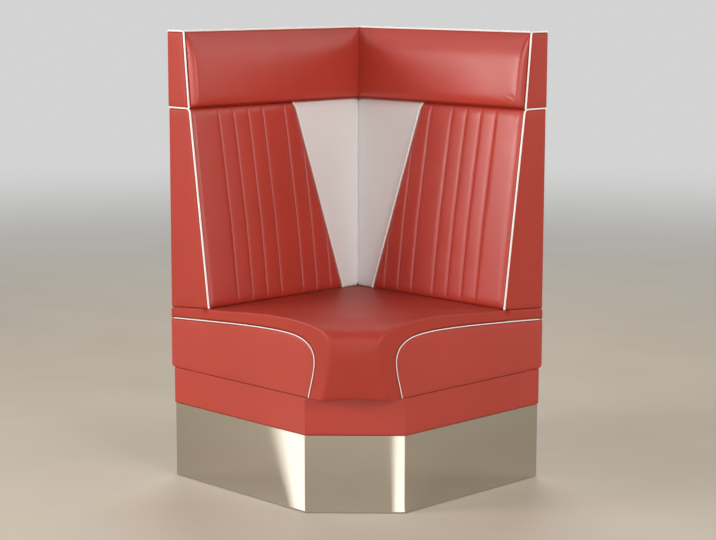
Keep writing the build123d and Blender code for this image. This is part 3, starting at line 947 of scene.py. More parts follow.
class Upholstery:
    """Shared by the sub-assemblies: the finishes, the node trees and what every piece is told."""

    def __init__(self, finishes: Finishes) -> None:
        """Keep the finishes and make the trees."""
        self.finishes = finishes
        self.piping = piping_tree()
        self.stitches = stitch_tree()
        self.screws = screw_tree()
        self.staples = staple_tree()
        self.made: list[str] = []

    def settle(self, piece: Piece, finish: Finish, nodes: Sequence[str] = (), fill: Optional[float] = None) -> None:
        """Dress a piece, let it ride, hide the CAD nodes that it replaces and log it.

        Args:
            piece: The finished object.
            finish: Its finish.
            nodes: The CAD nodes that it replaces.
            fill: How full it is, if it is padded; not used.
        """
        held = piece.data.attributes.get("held")
        if held is not None:
            piece.data.attributes.remove(held)
        dress(piece, finish.material)
        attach(piece, "root")
        if nodes:
            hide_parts(*nodes)
        self.made.append(piece.name)
        LOG.info("%s: %d faces", piece.name, len(piece.data.polygons))

    def cover(self, pad: Pad, node: str, stuffing: Stuffing, marks: Sequence[tuple], finish: Finish,
              fill: float) -> None:
        """Build a pad's cover, swell it and settle it in place of its CAD node.

        Args:
            pad: The pad.
            node: The CAD node.
            stuffing: How the cover swells.
            marks: The lines, reach and depth of each mark of soil and painted shade, as mark_soil_and_shade takes them.
            finish: The cover's finish.
            fill: How full the pad is.
        """
        piece = pad.build()
        stuffing.swell(piece)
        for mark in marks:
            mark_soil_and_shade(piece, *mark)
        self.settle(piece, finish, [node], fill)

    def flat_end(self, part: str, half: Half, outline: np.ndarray, face: float, back: float) -> None:
        """The thin padded end of a back or a roll.

        Args:
            part: Which end, as its CAD node's name begins.
            half: Which half of the bench.
            outline: Its outline (d, z).
            face: How far the pad's zero height is from the end face.
            back: Height of the pad's back.
        """
        def height(points: np.ndarray, gap: np.ndarray) -> np.ndarray:
            """Flat, and turned down at the edge."""
            return 2.5 * bulge(gap, 7.0) - 2.6

        pad = Pad(f"{part}_cover_{half.value}", outline, half.on_end(face), height, back, step=8.0)
        # Soil and painted shade along the border beside the piping.
        border = half.beside_end(face + 2.0, outline)
        self.cover(pad, f"{part}_panel_{half.value}", Stuffing(pressure=2.0, cap=0.7),
                   [([border], 5.0)], self.finishes.shaded_matt, 0.9)

    def grow(self, run: NodeRun, name: str, lines: Sequence[np.ndarray], finish: Finish, nodes: Sequence[str] = (),
             smooth: bool = True, **values: object) -> None:
        """Run a node tree on lines in frame metres, with its named inputs, and settle what it makes."""
        piece = run.run(name, lines, Material=finish.material, **values)
        smoothed(piece.data, smooth)
        self.settle(piece, finish, nodes)

    def sewn(self, name: str, lines: Sequence[np.ndarray], pitch: float = 5.0) -> None:
        """Rows of stitches along lines in frame metres."""
        self.grow(self.stitches, name, lines, self.finishes.thread, Pitch=pitch * MM, Stitch_length=pitch * 0.72 * MM,
                  Thread_radius=0.0004)


@dataclass
class Sided:
    """A part of one half of the bench."""

    shop: Upholstery
    half: Half

    @property
    def turn(self) -> int:
        """0 for the left half and 1 for the right, which gives each its own seeds."""
        return list(Half).index(self.half)

    def named(self, part: str) -> str:
        """The name of this half's piece or CAD node."""
        return f"{part}_{self.half.value}"

    def welt(self, part: str, line: np.ndarray, node: str, seed: float, radius: float = BENCH.welt) -> None:
        """Piping along a line in frame metres, in place of its CAD node."""
        self.shop.grow(self.shop.piping, self.named(part), [line], self.shop.finishes.piping, [self.named(node)],
                       Cord_radius=radius * MM, Step=0.003, Unevenness=0.12, Seed=seed)


# Seat


@dataclass
class Seat:
    """The seat cushion with its rolled front, and its two ends.

    profile_points are (distance from the corner, height) over the middle of the slanted front. line_points are
    (d, z) of the end piping. edge, inner and board_end are distances from the end face: of the flat top, of the
    groove's back and of the end board's inner side.
    """

    shop: Upholstery
    crown: float = 7.0
    crown_middle: float = 90.0
    crown_reach: float = 270.0
    rear: float = 138.5
    rear_top: float = 440.6
    rear_round: float = 10.0
    nose_start: float = 300.0
    edge: float = 5.5
    inner: float = 8.2
    board_end: float = 26.5
    under: float = 401.0
    columns: int = 46
    level_rows: int = 38
    nose_step: float = 5.0
    board_line: float = -11.6
    foot_from: float = 360.0
    foot_to: float = 286.0
    foot_middle: float = 70.0
    foot_lift: float = 4.0
    rear_shade_line: tuple[Triple, Triple] = ((0.0, 142.0, 452.5), (530.0, 142.0, 453.0))
    profile_points: tuple[Point, ...] = ((-60.0, 453.0), (0.0, 453.0), (60.0, 453.0), (104.8, 453.9), (150.0, 458.0),
                                         (217.9, 466.0), (282.8, 471.4), (333.9, 471.4), (372.9, 466.4),
                                         (401.0, 456.4), (414.6, 442.6), (419.0, 423.6), (416.5, 379.0),
                                         (407.5, 327.0), (402.0, 300.0), (396.0, 287.0))
    line_points: tuple[Point, ...] = ((-20.0, 411.8), (21.0, 415.0), (119.0, 422.0), (212.0, 428.4), (307.0, 433.8),
                                      (375.0, 436.2), (425.0, 436.4), (455.0, 435.0), (475.0, 432.8), (492.0, 429.2),
                                      (507.0, 423.8), (520.0, 416.0), (530.0, 406.0), (536.0, 394.0), (538.4, 381.0),
                                      (537.4, 365.5), (533.3, 344.5), (527.9, 325.5), (522.0, 304.5), (517.0, 286.0))

    def __post_init__(self) -> None:
        """Work out the profile of the seat's front and the line of its end piping."""
        self.profile = smooth_line(self.profile_points, 3.0)
        self.line = smooth_line(self.line_points, 3.0)

    def level(self, q: np.ndarray) -> np.ndarray:
        """Height of the seat at q towards the front, without its crown."""
        top = int(np.argmax(self.profile[:, 0]))
        return np.interp(q, self.profile[:top, 0], self.profile[:top, 1])

    def rise(self, q: np.ndarray, share: np.ndarray) -> np.ndarray:
        """Rise of the crown at q, and at a share of the way from the middle to an end."""
        away = np.minimum(np.abs(q - self.crown_middle) / self.crown_reach, 1.0)
        return self.crown * np.cos(away * pi / 2) ** 2 * np.cos(share * pi / 2) ** 4

    def on_line(self, d: np.ndarray, z: np.ndarray) -> np.ndarray:
        """Place on the end piping that belongs to each point of the seat's edge, as distance along it.

        Args:
            d: Distances from the wall of points on the edge, in order.
            z: Their heights.
        Returns:
            The distance along the piping for each.
        """
        edge_run, line_run = run_along(np.column_stack((d, z))), run_along(self.line)
        # Places (d, z) on the edge, each with its place on the piping, whose height follows on the level part
        pairs = [((d[0], z[0]), (d[0], None)), ((440.0, 471.5), (436.0, None)), ((567.0, 456.4), (519.0, 417.0)),
                 ((592.5, 410.0), (538.0, 385.0)), ((575.0, 312.0), (523.5, 308.0)), ((d[-1], z[-1]), (517.0, 286.0))]
        edge_at, line_at = [], []
        for (ed, ez), (ld, lz) in pairs:
            edge_at.append(edge_run[np.argmin(np.hypot(d - ed, z - ez))])
            if lz is None:
                lz = np.interp(ld, self.line[:60, 0], self.line[:60, 1])
            line_at.append(line_run[np.argmin(np.hypot(*(self.line - (ld, lz)).T))])
        return np.interp(edge_run, edge_at, line_at)

    def line_point(self, run: np.ndarray, out: float) -> np.ndarray:
        """Points (d, z) beside the end piping, out from it towards the seat's edge."""
        moved, along = offset_path(self.line, out), run_along(self.line)
        return np.stack([np.interp(run, along, moved[:, k]) for k in (0, 1)], -1)

    def half_gap(self, d: np.ndarray) -> np.ndarray:
        """Half the width of the groove for the piping, which closes where the piping is tucked in at the rear."""
        return 0.5 + (BENCH.groove - 0.5) * np.clip((d - 10.0) / 12.0, 0, 1)

    def edge_columns(self, top: np.ndarray, corner: np.ndarray, line: np.ndarray, inner: np.ndarray,
                     soft: np.ndarray) -> np.ndarray:
        """Columns round the end edge, from the top of the seat to the back of the groove.

        Args:
            top: (rows, 3) points of the top surface next to the edge.
            corner: (rows, 3) points where the edge would be if it were sharp.
            line: (rows, 2) points (d, z) of the lip beside the piping.
            inner: (rows, 2) points (d, z) of the end board's side of the cushion.
            soft: (rows,) how round the edge is, from 0 to 1.
        Returns:
            (rows, columns, 3) points in u, d and z.
        """
        rows = len(top)
        zero = np.zeros((rows, 1))
        towards = line - corner[:, 1:]
        towards = towards / np.linalg.norm(towards, axis=1, keepdims=True)
        low = np.hstack((zero, corner[:, 1:] + towards * (4.5 + 2.5 * soft[:, None])))
        pull = (0.2 + 0.16 * soft)[:, None]
        a, b = corner + (top - corner) * pull, corner + (low - corner) * pull
        columns = []
        for t in (0.12, 0.26, 0.4, 0.5, 0.6, 0.74, 0.88, 1.0):
            columns.append((1 - t) ** 3 * top + 3 * t * (1 - t) ** 2 * a + 3 * t * t * (1 - t) * b + t ** 3 * low)
        lip = line - towards * 4.5
        for t in (0.33, 0.66, 1.0):
            columns.append(np.hstack((zero + 0.05, low[:, 1:] + (lip - low[:, 1:]) * t)))
        for back, deep in ((2.6, 0.3), (1.0, 1.2), (0.2, 2.8)):
            columns.append(np.hstack((zero + deep, line - towards * back)))
        columns += [np.hstack((zero + u, at)) for u, at in ((self.inner, line), (self.inner, inner),
                                                            (self.board_end, inner))]
        return np.stack(columns, 1)

    def half_grid(self) -> tuple[np.ndarray, np.ndarray]:
        """The left half of the cushion.

        Returns:
            The grid (rows, points, 3) from the diagonal, over the top, round the end and back under, and how
            firmly each point is held.
        """
        side, level_rows = BENCH.side, self.level_rows
        last = self.nose_start * ROOT_TWO
        share = np.linspace(0, 1, level_rows)
        begin = int(np.argmax(self.profile[:, 0] > self.nose_start))
        first = (self.nose_start, self.level(np.array(self.nose_start)))
        nose = resample(np.vstack((first, self.profile[begin:])), self.nose_step)[1:]
        start_d = np.concatenate((self.rear + share * (last - self.rear), nose[:, 0] * ROOT_TWO))
        far_u = np.concatenate(((side - self.rear) + share * ((side - last) / 2 - (side - self.rear)),
                                (side - nose[:, 0] * ROOT_TWO) / 2))
        row = np.arange(len(start_d))[:, None]
        u = self.edge + (far_u[:, None] - self.edge) * np.linspace(0, 1, self.columns)[::-1]
        slope = (side - far_u - start_d) / far_u
        d = start_d[:, None] + slope[:, None] * u
        # q runs from the corner to the slanted front, and t across it
        q, t = (d - u) / ROOT_TWO, (u + d - side) / ROOT_TWO
        z = self.level(q)
        z[level_rows:] = nose[:, 1:]
        z = z + self.rise(q, t / (BENCH.half * ROOT_TWO))
        low = np.clip((self.foot_from - z) / (self.foot_from - self.foot_to), 0, 1) * (row >= level_rows)
        middle = np.cos(np.clip(t / self.foot_middle, -1, 1) * pi / 2) ** 2
        top = np.stack((u, d, z + self.foot_lift * low ** 2 * middle), -1)
        corner = np.stack((np.zeros(len(start_d)), start_d, top[:, -1, 2]), -1)
        run = self.on_line(start_d, corner[:, 2])
        soft = np.clip((row[:, 0] - level_rows + 8) / 20.0, 0, 1)
        ends = self.edge_columns(top[:, -1], corner, self.line_point(run, BENCH.groove),
                                 self.line_point(run, self.board_line), soft)
        grid = np.concatenate((top, ends, self.underside(far_u, start_d, slope)), 1)
        held = np.ones(grid.shape[:2])
        free = bulge(u - self.edge, 22.0) * bulge(row - 0.5, 4.0) * bulge(len(row) - 1.0 - row, 5.0)
        held[:, :self.columns] = 1 - np.clip(free, 0, 1)
        return grid, held

    def underside(self, far_u: np.ndarray, start_d: np.ndarray, slope: np.ndarray) -> np.ndarray:
        """Points under the cushion, from beside the end board to the diagonal, for each row."""
        rows = len(far_u)
        board = BENCH.base_front + 0.4
        inner = resample(np.array(((self.nose_start, self.under), (board, self.under), (board, 287.0))), 1.0)
        pick = np.linspace(0, len(inner) - 1, rows - self.level_rows + 1)[1:].astype(int)
        q = np.concatenate((np.zeros(self.level_rows), inner[pick, 0]))
        z = np.concatenate((np.full(self.level_rows, self.under), inner[pick, 1]))
        on_nose = np.arange(rows) >= self.level_rows
        reach_u = np.where(on_nose, (BENCH.side - q * ROOT_TWO) / 2, far_u)
        out = []
        for share in np.linspace(0, 1, 12):
            u = self.board_end + (reach_u - self.board_end) * share
            d = np.where(on_nose, q * ROOT_TWO + u, start_d + slope * u)
            out.append(np.stack((u, d, z), -1))
        return np.stack(out, 1)

    def rear_strip(self, first: np.ndarray) -> np.ndarray:
        """Rows of the narrow strip beside the back, from the wall to the cushion's first row."""
        d = np.linspace(0, self.rear, 20)[:-1]
        drop = self.rear_round - np.sqrt(self.rear_round ** 2 - np.maximum(self.rear_round - d, 0) ** 2)
        z = self.rear_top + (first[self.columns - 1, 2] - self.rear_top) * d / self.rear - drop
        top = np.stack((np.full(len(d), self.edge), d, z), -1)
        corner = np.stack((np.zeros(len(d)), d, z), -1)
        line_z = np.interp(d, self.line[:80, 0], self.line[:80, 1])
        line = np.stack((d, np.minimum(line_z + self.half_gap(d), z - 8)), -1)
        ends = self.edge_columns(top, corner, line, line - 1.0, np.zeros(len(d)))
        strip = np.concatenate((top[:, None], ends[:, :-2]), 1)
        strip[..., 0] = np.maximum(strip[..., 0], 6.5 * (1 - bulge(d, 8.0))[:, None])
        return np.concatenate((strip, first[None, self.columns - 1:self.columns - 1 + strip.shape[1]]), 0)

    def cushion(self) -> None:
        """The cushion, both halves in one piece."""
        grid, held = self.half_grid()
        strip = self.rear_strip(grid[0])
        form = Form()
        rear_ring = np.concatenate((grid[0, :self.columns], grid[0, self.columns + strip.shape[1] - 2:]))
        for half in Half:
            form.grid(half.place(grid), held)
            form.grid(half.place(strip), ring=True)
            form.cap(half.place(strip[0]))
            form.cap(half.place(rear_ring))
            form.cap(half.place(grid[-1]))
        piece = form.build("seat_cushion_cover")
        Stuffing(pressure=4.0, cap=1.6).swell(piece)
        refined(piece)
        # Soil and painted shade beside the end piping.
        lip = self.line_point(np.linspace(0, len(self.line) * 3.0 - 3, 240), BENCH.groove)
        mark_soil_and_shade(piece, [half.beside_end(1.0, lip) for half in Half])
        # Painted shade: a wide dark band on the seat in front of the backs, where they shade it.
        mark_soil_and_shade(piece, [half.place(np.array(self.rear_shade_line)) for half in Half], 22.0)
        self.shop.settle(piece, self.shop.finishes.shaded_matt, ["seat_cushion"], 0.8)

    def build(self) -> None:
        """Make every piece of the seat."""
        self.cushion()
        for half in Half:
            SeatEnd(self.shop, half, self).build()


@dataclass
class SeatEnd(Sided):
    """One end of the seat: the flat padded panel and the piping round it."""

    seat: Seat
    tight: Point = (499.0, 378.0)
    piping_start: float = 14.0
    piping_end: float = 288.0
    piping_radius: float = 1.45

    def panel(self) -> None:
        """The flat padded panel inside the end piping."""
        line = offset_path(self.seat.line, -BENCH.groove)
        line = line[(line[:, 0] > 3.0) & (line[:, 1] > self.piping_end)]
        line[:, 1] += BENCH.groove - self.seat.half_gap(line[:, 0])
        foot = line[-1]
        rear = rounded_path([(foot[0], 287.2), (0.0, 287.2), (0.0, line[0, 1] - 0.5), tuple(line[0] + (10, 0.7))],
                            (0, 10, 10, 0), 2.0)
        outline = np.vstack((line[4:], rear[:-1]))

        def height(points: np.ndarray, gap: np.ndarray) -> np.ndarray:
            """A shallow pillow with small gathers where the piping turns tightly."""
            away = points - self.tight
            angle = np.arctan2(away[:, 1], away[:, 0])
            gathers = np.sin(angle * 26.0) * np.exp(-gap / 9.0) * np.exp(-((angle - 0.75) / 0.7) ** 2)
            return -2.6 + 2.6 * bulge(gap, 6.0) + 0.35 * gathers - 5.0 * (1 - bulge(points[:, 0], 8.0))

        pad = Pad(self.named("seat_end_cover"), outline, self.half.on_end(2.2), height, -5.8, step=8.0)
        border = [self.half.beside_end(2.0, line)]
        # Soil and painted shade beside the piping; the second, narrow and deeper mark paints a dark shadow line along
        # it.
        self.shop.cover(pad, self.named("seat_end_panel"), Stuffing(pressure=2.0, cap=0.8),
                        [(border, 5.0), (border, 3.4, 1.45)], self.shop.finishes.red, 0.9)

    def piping(self) -> None:
        """The piping round the end panel, tucked in at the rear."""
        line = self.seat.line
        line = line[(line[:, 0] > self.piping_start) & (line[:, 1] > self.piping_end)]
        path = self.half.place(np.column_stack((1.0 + 5.0 * (1 - bulge(line[:, 0] - self.piping_start, 10.0)), line)))
        self.welt("seat_piping", path, "seat_welt", 1.5 + self.turn, self.piping_radius)

    def build(self) -> None:
        """Make both pieces."""
        self.panel()
        self.piping()


# Lower backs


@dataclass
class Back(Sided):
    """One lower back: channelled cushion, pale inset, end panel, piping and stitching.

    start, wide, narrow and middle set the channels' seams. rim, valley and crest are heights of the cover over the
    slope of the back, and each turn is how far in from its edge the cover starts to turn down.
    """

    start: float = 8.8
    wide: float = 91.0
    narrow: float = 49.5
    middle: float = 75.0
    rim: float = -4.2
    vee_rim: float = -2.4
    crest: float = 5.0
    valley: float = 1.8
    low: float = 455.0
    high: float = 950.4
    panel_face: float = 3.5
    vee_welt: float = 3.1
    sunk: float = 2.2
    pad_back: float = -11.7
    dome: float = 0.6
    foot_turn: float = 13.0
    head_turn: float = 24.0
    slant_turn: float = 6.5
    end_turn: float = 12.0
    gather: float = 0.22
    gather_reach: float = 6.0

    def __post_init__(self) -> None:
        """Work out the channels' seams and the cushion's slanted edge."""
        seams = [self.start, self.start + self.wide]
        while seams[-1] < BENCH.vee_foot:
            seams += [seams[-1] + self.narrow * (k + 1) for k in range(3)]
            seams.append(seams[-1] + self.middle)
        self.seams = np.array(seams)
        self.foot, self.head = BENCH.slope(self.low), BENCH.slope(self.high)
        self.lean = (BENCH.vee_foot - BENCH.vee_head) / BENCH.slope(BENCH.back_seam)

    def vee(self, v: float) -> float:
        """Distance from the end face to the slanted edge, at a distance up the slope."""
        return BENCH.vee_foot - self.lean * v

    def channels(self, u: np.ndarray) -> np.ndarray:
        """Height of the channels at distances from the end face: flat crests with narrow sewn valleys."""
        k = np.clip(np.searchsorted(self.seams, u, side="right") - 1, 0, len(self.seams) - 2)
        start, stop = self.seams[k], self.seams[k + 1]
        near = np.where(k == 0, stop - u, np.minimum(u - start, stop - u))
        dome = 1 - (2 * (u - start) / (stop - start) - 1) ** 2
        return self.valley + (self.crest - self.valley - self.dome) * bulge(near, 6.5) + self.dome * dome

    def leaning(self, points: np.ndarray) -> np.ndarray:
        """Points (u, v, height) of the cushion, its channels moved as they lean: out at the top, in at the waist."""
        share = (points[..., 1] - self.foot) / (self.head - self.foot)
        shift = np.interp(share, (0, 0.2, 0.4, 0.55, 0.7, 0.85, 1.0), (0.0, -1.5, -2.0, 0.0, 1.8, 4.2, 6.8))
        u = points[..., 0]
        edges = bulge(u - self.start, 85.0, 1.6) * bulge(self.vee(points[..., 1]) - BENCH.groove - u, 26.0, 1.6)
        moved = np.array(points, float)
        moved[..., 0] -= shift * edges
        return moved

    def on_cushion(self, points: np.ndarray) -> np.ndarray:
        """Points of the cushion in frame metres."""
        return self.half.on_back(self.leaning(points))

    def cushion(self) -> None:
        """The channelled cushion, cut at the slanted edge."""
        gap = BENCH.groove
        outline = np.array([(self.start, self.foot), (self.vee(self.foot) - gap, self.foot),
                            (self.vee(self.head) - gap, self.head), (self.start, self.head)])
        columns = []
        for start, stop in zip(self.seams, self.seams[1:]):
            width = stop - start
            near = np.array((0.0, 0.35, 0.9, 1.8, 3.0, 4.6, 6.5, 9.5))
            middle = np.linspace(14.0, width - 14.0, max(int((width - 28.0) / 6.0), 2) + 1)
            columns += [start + near, start + middle, stop - near[:0:-1]]
        columns = np.concatenate(columns)
        columns = columns[columns > self.start + 0.5]

        def height(points: np.ndarray, _: np.ndarray) -> np.ndarray:
            """Channels that turn down over the edges of the cushion."""
            u, v = points[:, 0], points[:, 1]
            ends = bulge(v - self.foot, self.foot_turn, 1.8) * bulge(self.head - v, self.head_turn)
            slant = bulge(self.vee(v) - gap - u, self.slant_turn)
            first = bulge(u - self.start, self.end_turn, 1.7)
            rim = self.rim + (self.vee_rim - self.rim) * np.clip(1 - (self.vee(v) - gap - u) / 12.0, 0, 1)
            seam = np.exp(-np.abs(u[:, None] - self.seams[None, :]).min(1) / self.gather_reach)
            gathers = self.gather * np.sin(v / 3.1 + 2.0 * np.sin(u / 37.0)) * seam
            return rim + (self.channels(u) - rim + gathers) * ends * slant * first

        pad = Pad(self.named("back_cushion_cover"), outline, self.on_cushion, height, self.pad_back,
                  columns=columns, creases=tuple(self.seams[1:]))
        # Soil and painted shade round the border and in the channels' valleys.
        border = self.half.on_back(np.column_stack((outline[[0, 1, 2, 3, 0]], np.full(5, self.rim))))
        self.shop.cover(pad, self.named("back_cushion"), Stuffing(pressure=3.0, cap=0.35),
                        [([border] + self.seam_lines(), 3.0)], self.shop.finishes.red, 0.85)

    def seam_lines(self) -> list[np.ndarray]:
        """Lines along the bottoms of the channels' valleys, in frame metres."""
        lines = []
        for u in self.seams[1:]:
            top = min(self.head - 5.0, (BENCH.vee_foot - BENCH.groove - 6.0 - u) / self.lean)
            if top > self.foot + 30:
                ends = np.array([(u, self.foot + 14.0, self.valley + 0.1), (u, top - 20.0, self.valley + 0.1)])
                lines.append(self.on_cushion(resample(ends, 8.0)))
        return lines

    def inset(self) -> None:
        """The plain pale inset between the slanted edge and the corner."""
        gap = BENCH.groove
        lean = BENCH.rake

        def corner(v: float) -> float:
            """Distance from the end face to the corner between the two insets, at a distance up the slope."""
            return BENCH.side - BENCH.back_foot + v * sin(lean) + self.sunk * cos(lean)

        outline = np.array([(self.vee(self.foot) + gap, self.foot), (corner(self.foot), self.foot),
                            (corner(self.head), self.head), (self.vee(self.head) + gap, self.head)])

        def height(points: np.ndarray, _: np.ndarray) -> np.ndarray:
            """A taut face, drawn down at its edges and a little full in the middle."""
            u, v = points[:, 0], points[:, 1]
            ends = bulge(np.minimum(v - self.foot, self.head - v), 12.0)
            slant = bulge(u - self.vee(v) - gap, 9.0)
            away = bulge(corner(v) - u, 60.0)
            middle = np.sin(np.clip((v - self.foot) / (self.head - self.foot), 0, 1) * pi)
            return -6.4 + (4.2 + 0.8 * middle * away) * ends * slant

        pad = Pad(self.named("back_inset_cover"), outline, self.half.on_back, height, self.pad_back, step=8.0)
        border = self.half.on_back(np.column_stack((outline[[2, 3, 0, 1]], np.full(4, -4.0))))
        # Soil and painted shade along the border, the corner edge left out; the top edge's wider mark is painted shadow
        # under the head roll.
        self.shop.cover(pad, self.named("back_inset"), Stuffing(pressure=2.0, cap=0.5),
                        [([border], 4.0), ([border[:2]], 8.0)], self.shop.finishes.pale, 0.8)

    def end_panel(self) -> None:
        """The flat padded end of the lower back."""
        top = BENCH.back_seam - BENCH.groove
        corners = [(3.0, 441.2), (BENCH.back_line(454.2, -BENCH.groove), 454.2),
                   (BENCH.back_line(top, -BENCH.groove), top), (3.0, top)]
        outline = rounded_path(corners, (2, 2, 9.2, 2), 1.5, closed=True)
        self.shop.flat_end("back_end", self.half, outline, self.panel_face, -4.3)

    def piping(self) -> None:
        """The piping down the front of the end panel and along the slanted edge."""
        z = BENCH.back_seam
        path = rounded_path([(3.2, z), (BENCH.back_line(z), z), (BENCH.back_line(self.low), self.low)], (0, 12, 0), 1.5)
        line = self.half.beside_end(self.panel_face + BENCH.welt - 0.6, resample(path, 3.0))
        self.welt("back_piping", line, "back_end_welt", 11.0 + self.turn)
        turn = self.head - 14.0
        slanted = rounded_path([(self.vee(self.foot + 1), self.foot + 1), (self.vee(turn), turn),
                                (self.vee(turn) - 10.0, self.head - 1.0)], (0, 16, 0), 1.5)
        slanted = resample(slanted, 3.0)
        line = self.half.on_back(np.column_stack((slanted, np.full(len(slanted), self.vee_welt))))
        self.welt("inset_piping", line, "inset_welt", 18.0 + self.turn)

    def build(self) -> None:
        """Make every piece of this back."""
        self.cushion()
        self.inset()
        self.end_panel()
        self.piping()
        self.shop.sewn(self.named("channel_stitches"), self.seam_lines())


# Head rolls


@dataclass
class HeadRoll(Sided):
    """One padded roll at the top of a back, with its end panel and piping.

    profile is (share of the height, how far the front stands out). lower_edge is which point of the front lies on
    the rounded edge above its foot, along which a band of painted shade darkens the colour.
    """

    panel_face: float = 2.0
    start: float = 7.7
    rear: float = 2.0
    base: float = 9.7
    low: float = 950.9
    lower_edge: int = 42
    end_share: float = 0.12
    end_turn: float = 12.0
    profile: tuple[Point, ...] = ((0.0, 0.0), (0.004, 8.0), (0.018, 14.5), (0.045, 19.5), (0.09, 22.8), (0.16, 24.3),
                                  (0.28, 24.7), (0.42, 24.4), (0.56, 23.4), (0.68, 21.6), (0.77, 18.8), (0.85, 14.6),
                                  (0.915, 9.8), (0.96, 5.8), (0.985, 3.0), (1.0, 0.0))

    def section(self, full: np.ndarray) -> tuple[np.ndarray, np.ndarray, int]:
        """Closed outline (d, z) of the roll at each station.

        Args:
            full: (stations,) how far the front stands out, from 0 to 1.
        Returns:
            d, (stations, points), and z, (points,), and how many of the first points are the padded front.
        """
        top = BENCH.welt_top - BENCH.groove
        curve = smooth_line([(share * (top - self.low) / 10, out) for share, out in self.profile], 0.35)
        z = self.low + curve[:, 0] * 10
        out = curve[:, 1]
        lean = np.array([BENCH.roll_line(h) for h in z])
        front = lean[None, :] + out[None, :] * full[:, None]
        ledge = BENCH.roll_line(BENCH.welt_top) - BENCH.groove
        roof = BENCH.welt_top
        rest = [(ledge, top), (ledge, roof - 0.8), (ledge - 1.6, roof), (ledge * 0.75, roof + 0.6),
                (ledge * 0.5, roof + 0.8), (ledge * 0.25, roof + 0.6), (self.rear + 2.5, roof - 0.2),
                (self.rear, roof - 2.2), (self.rear, BENCH.head_top + 0.3),
                (BENCH.roll_line(BENCH.head_top, -self.base), BENCH.head_top + 0.3),
                (BENCH.roll_line(self.low, -self.base), self.low)]
        rest_d, rest_z = np.array(rest).T
        return np.hstack((front, np.tile(rest_d, (len(full), 1)))), np.concatenate((z, rest_z)), len(z)

    def roll(self) -> None:
        """The padded roll with its flat top."""
        length = BENCH.side - BENCH.roll_foot - self.start
        at = np.concatenate((np.array((0.0, 0.4, 1.2, 2.6, 4.6, 7.0, 9.6, 12.4, 16.0, 21.0, 28.0)),
                             np.linspace(37.0, length - 12.0, 66),
                             length - np.array((7.0, 4.4, 2.6, 1.2, 0.4, 0.0)))) / length
        along = at * length
        full = self.end_share + (1 - self.end_share) * bulge(along, self.end_turn, 1.8)
        full = full * (0.98 + 0.02 * bulge(length - along, 3.0))
        d, z, front = self.section(full)
        u = self.start + at[:, None] * (BENCH.side - 0.05 - d - self.start)
        grid = np.stack((u, d, np.broadcast_to(z, d.shape)), -1)
        held = np.ones(d.shape)
        index = np.arange(front)
        lift = bulge(np.minimum(index, front - 1 - index).astype(float), 10.0)
        held[:, :front] = 1 - lift[None, :] * bulge(np.minimum(along, length - along), 30.0)[:, None]
        form = Form()
        form.tube(self.half.place(grid), held)
        piece = form.build(self.named("head_roll_cover"))
        Stuffing(pressure=4.0, cap=0.6).swell(piece)
        # Soil and painted shade along the roll's seams.
        mark_soil_and_shade(piece, [self.half.place(line) for line in (grid[:, 0], grid[:, front - 1], grid[0])], 5.0)
        # Painted shade: a wide, deep dark band along the roll's rounded lower edge.
        mark_soil_and_shade(piece, [self.half.place(grid[:, self.lower_edge])], 12.0, 1.15)
        self.shop.settle(piece, self.shop.finishes.red, [self.named("head_roll")], 0.9)

    def end_panel(self) -> None:
        """The flat padded end of the roll."""
        top = BENCH.welt_top - BENCH.groove
        corners = [(self.rear, self.low), (BENCH.roll_line(self.low, -BENCH.groove), self.low),
                   (BENCH.roll_line(top, -BENCH.groove), top), (self.rear, top)]
        outline = rounded_path(corners, (2, 2, 3, 2), 1.0, closed=True)
        self.shop.flat_end("roll_end", self.half, outline, self.panel_face, -5.2)

    def piping(self) -> None:
        """The piping over the end panel and along the top front edge."""
        top = BENCH.welt_top
        edge = BENCH.roll_line(top)
        corners = [(self.rear + 0.2, top), (edge, top), (BENCH.roll_line(self.low), self.low)]
        path = resample(rounded_path(corners, (0, 5, 0), 1.0), 2.5)
        line = self.half.beside_end(self.panel_face + BENCH.welt, path)
        self.welt("roll_end_piping", line, "roll_end_welt", 21.0 + self.turn)
        ends = np.array([(self.start + 0.3, edge, top), (BENCH.side - edge, edge, top)])
        self.welt("roll_top_piping", self.half.place(resample(ends, 3.0)), "roll_top_welt", 26.0 + self.turn)

    def build(self) -> None:
        """Make every piece of this roll."""
        self.roll()
        self.end_panel()
        self.piping()


# Rear


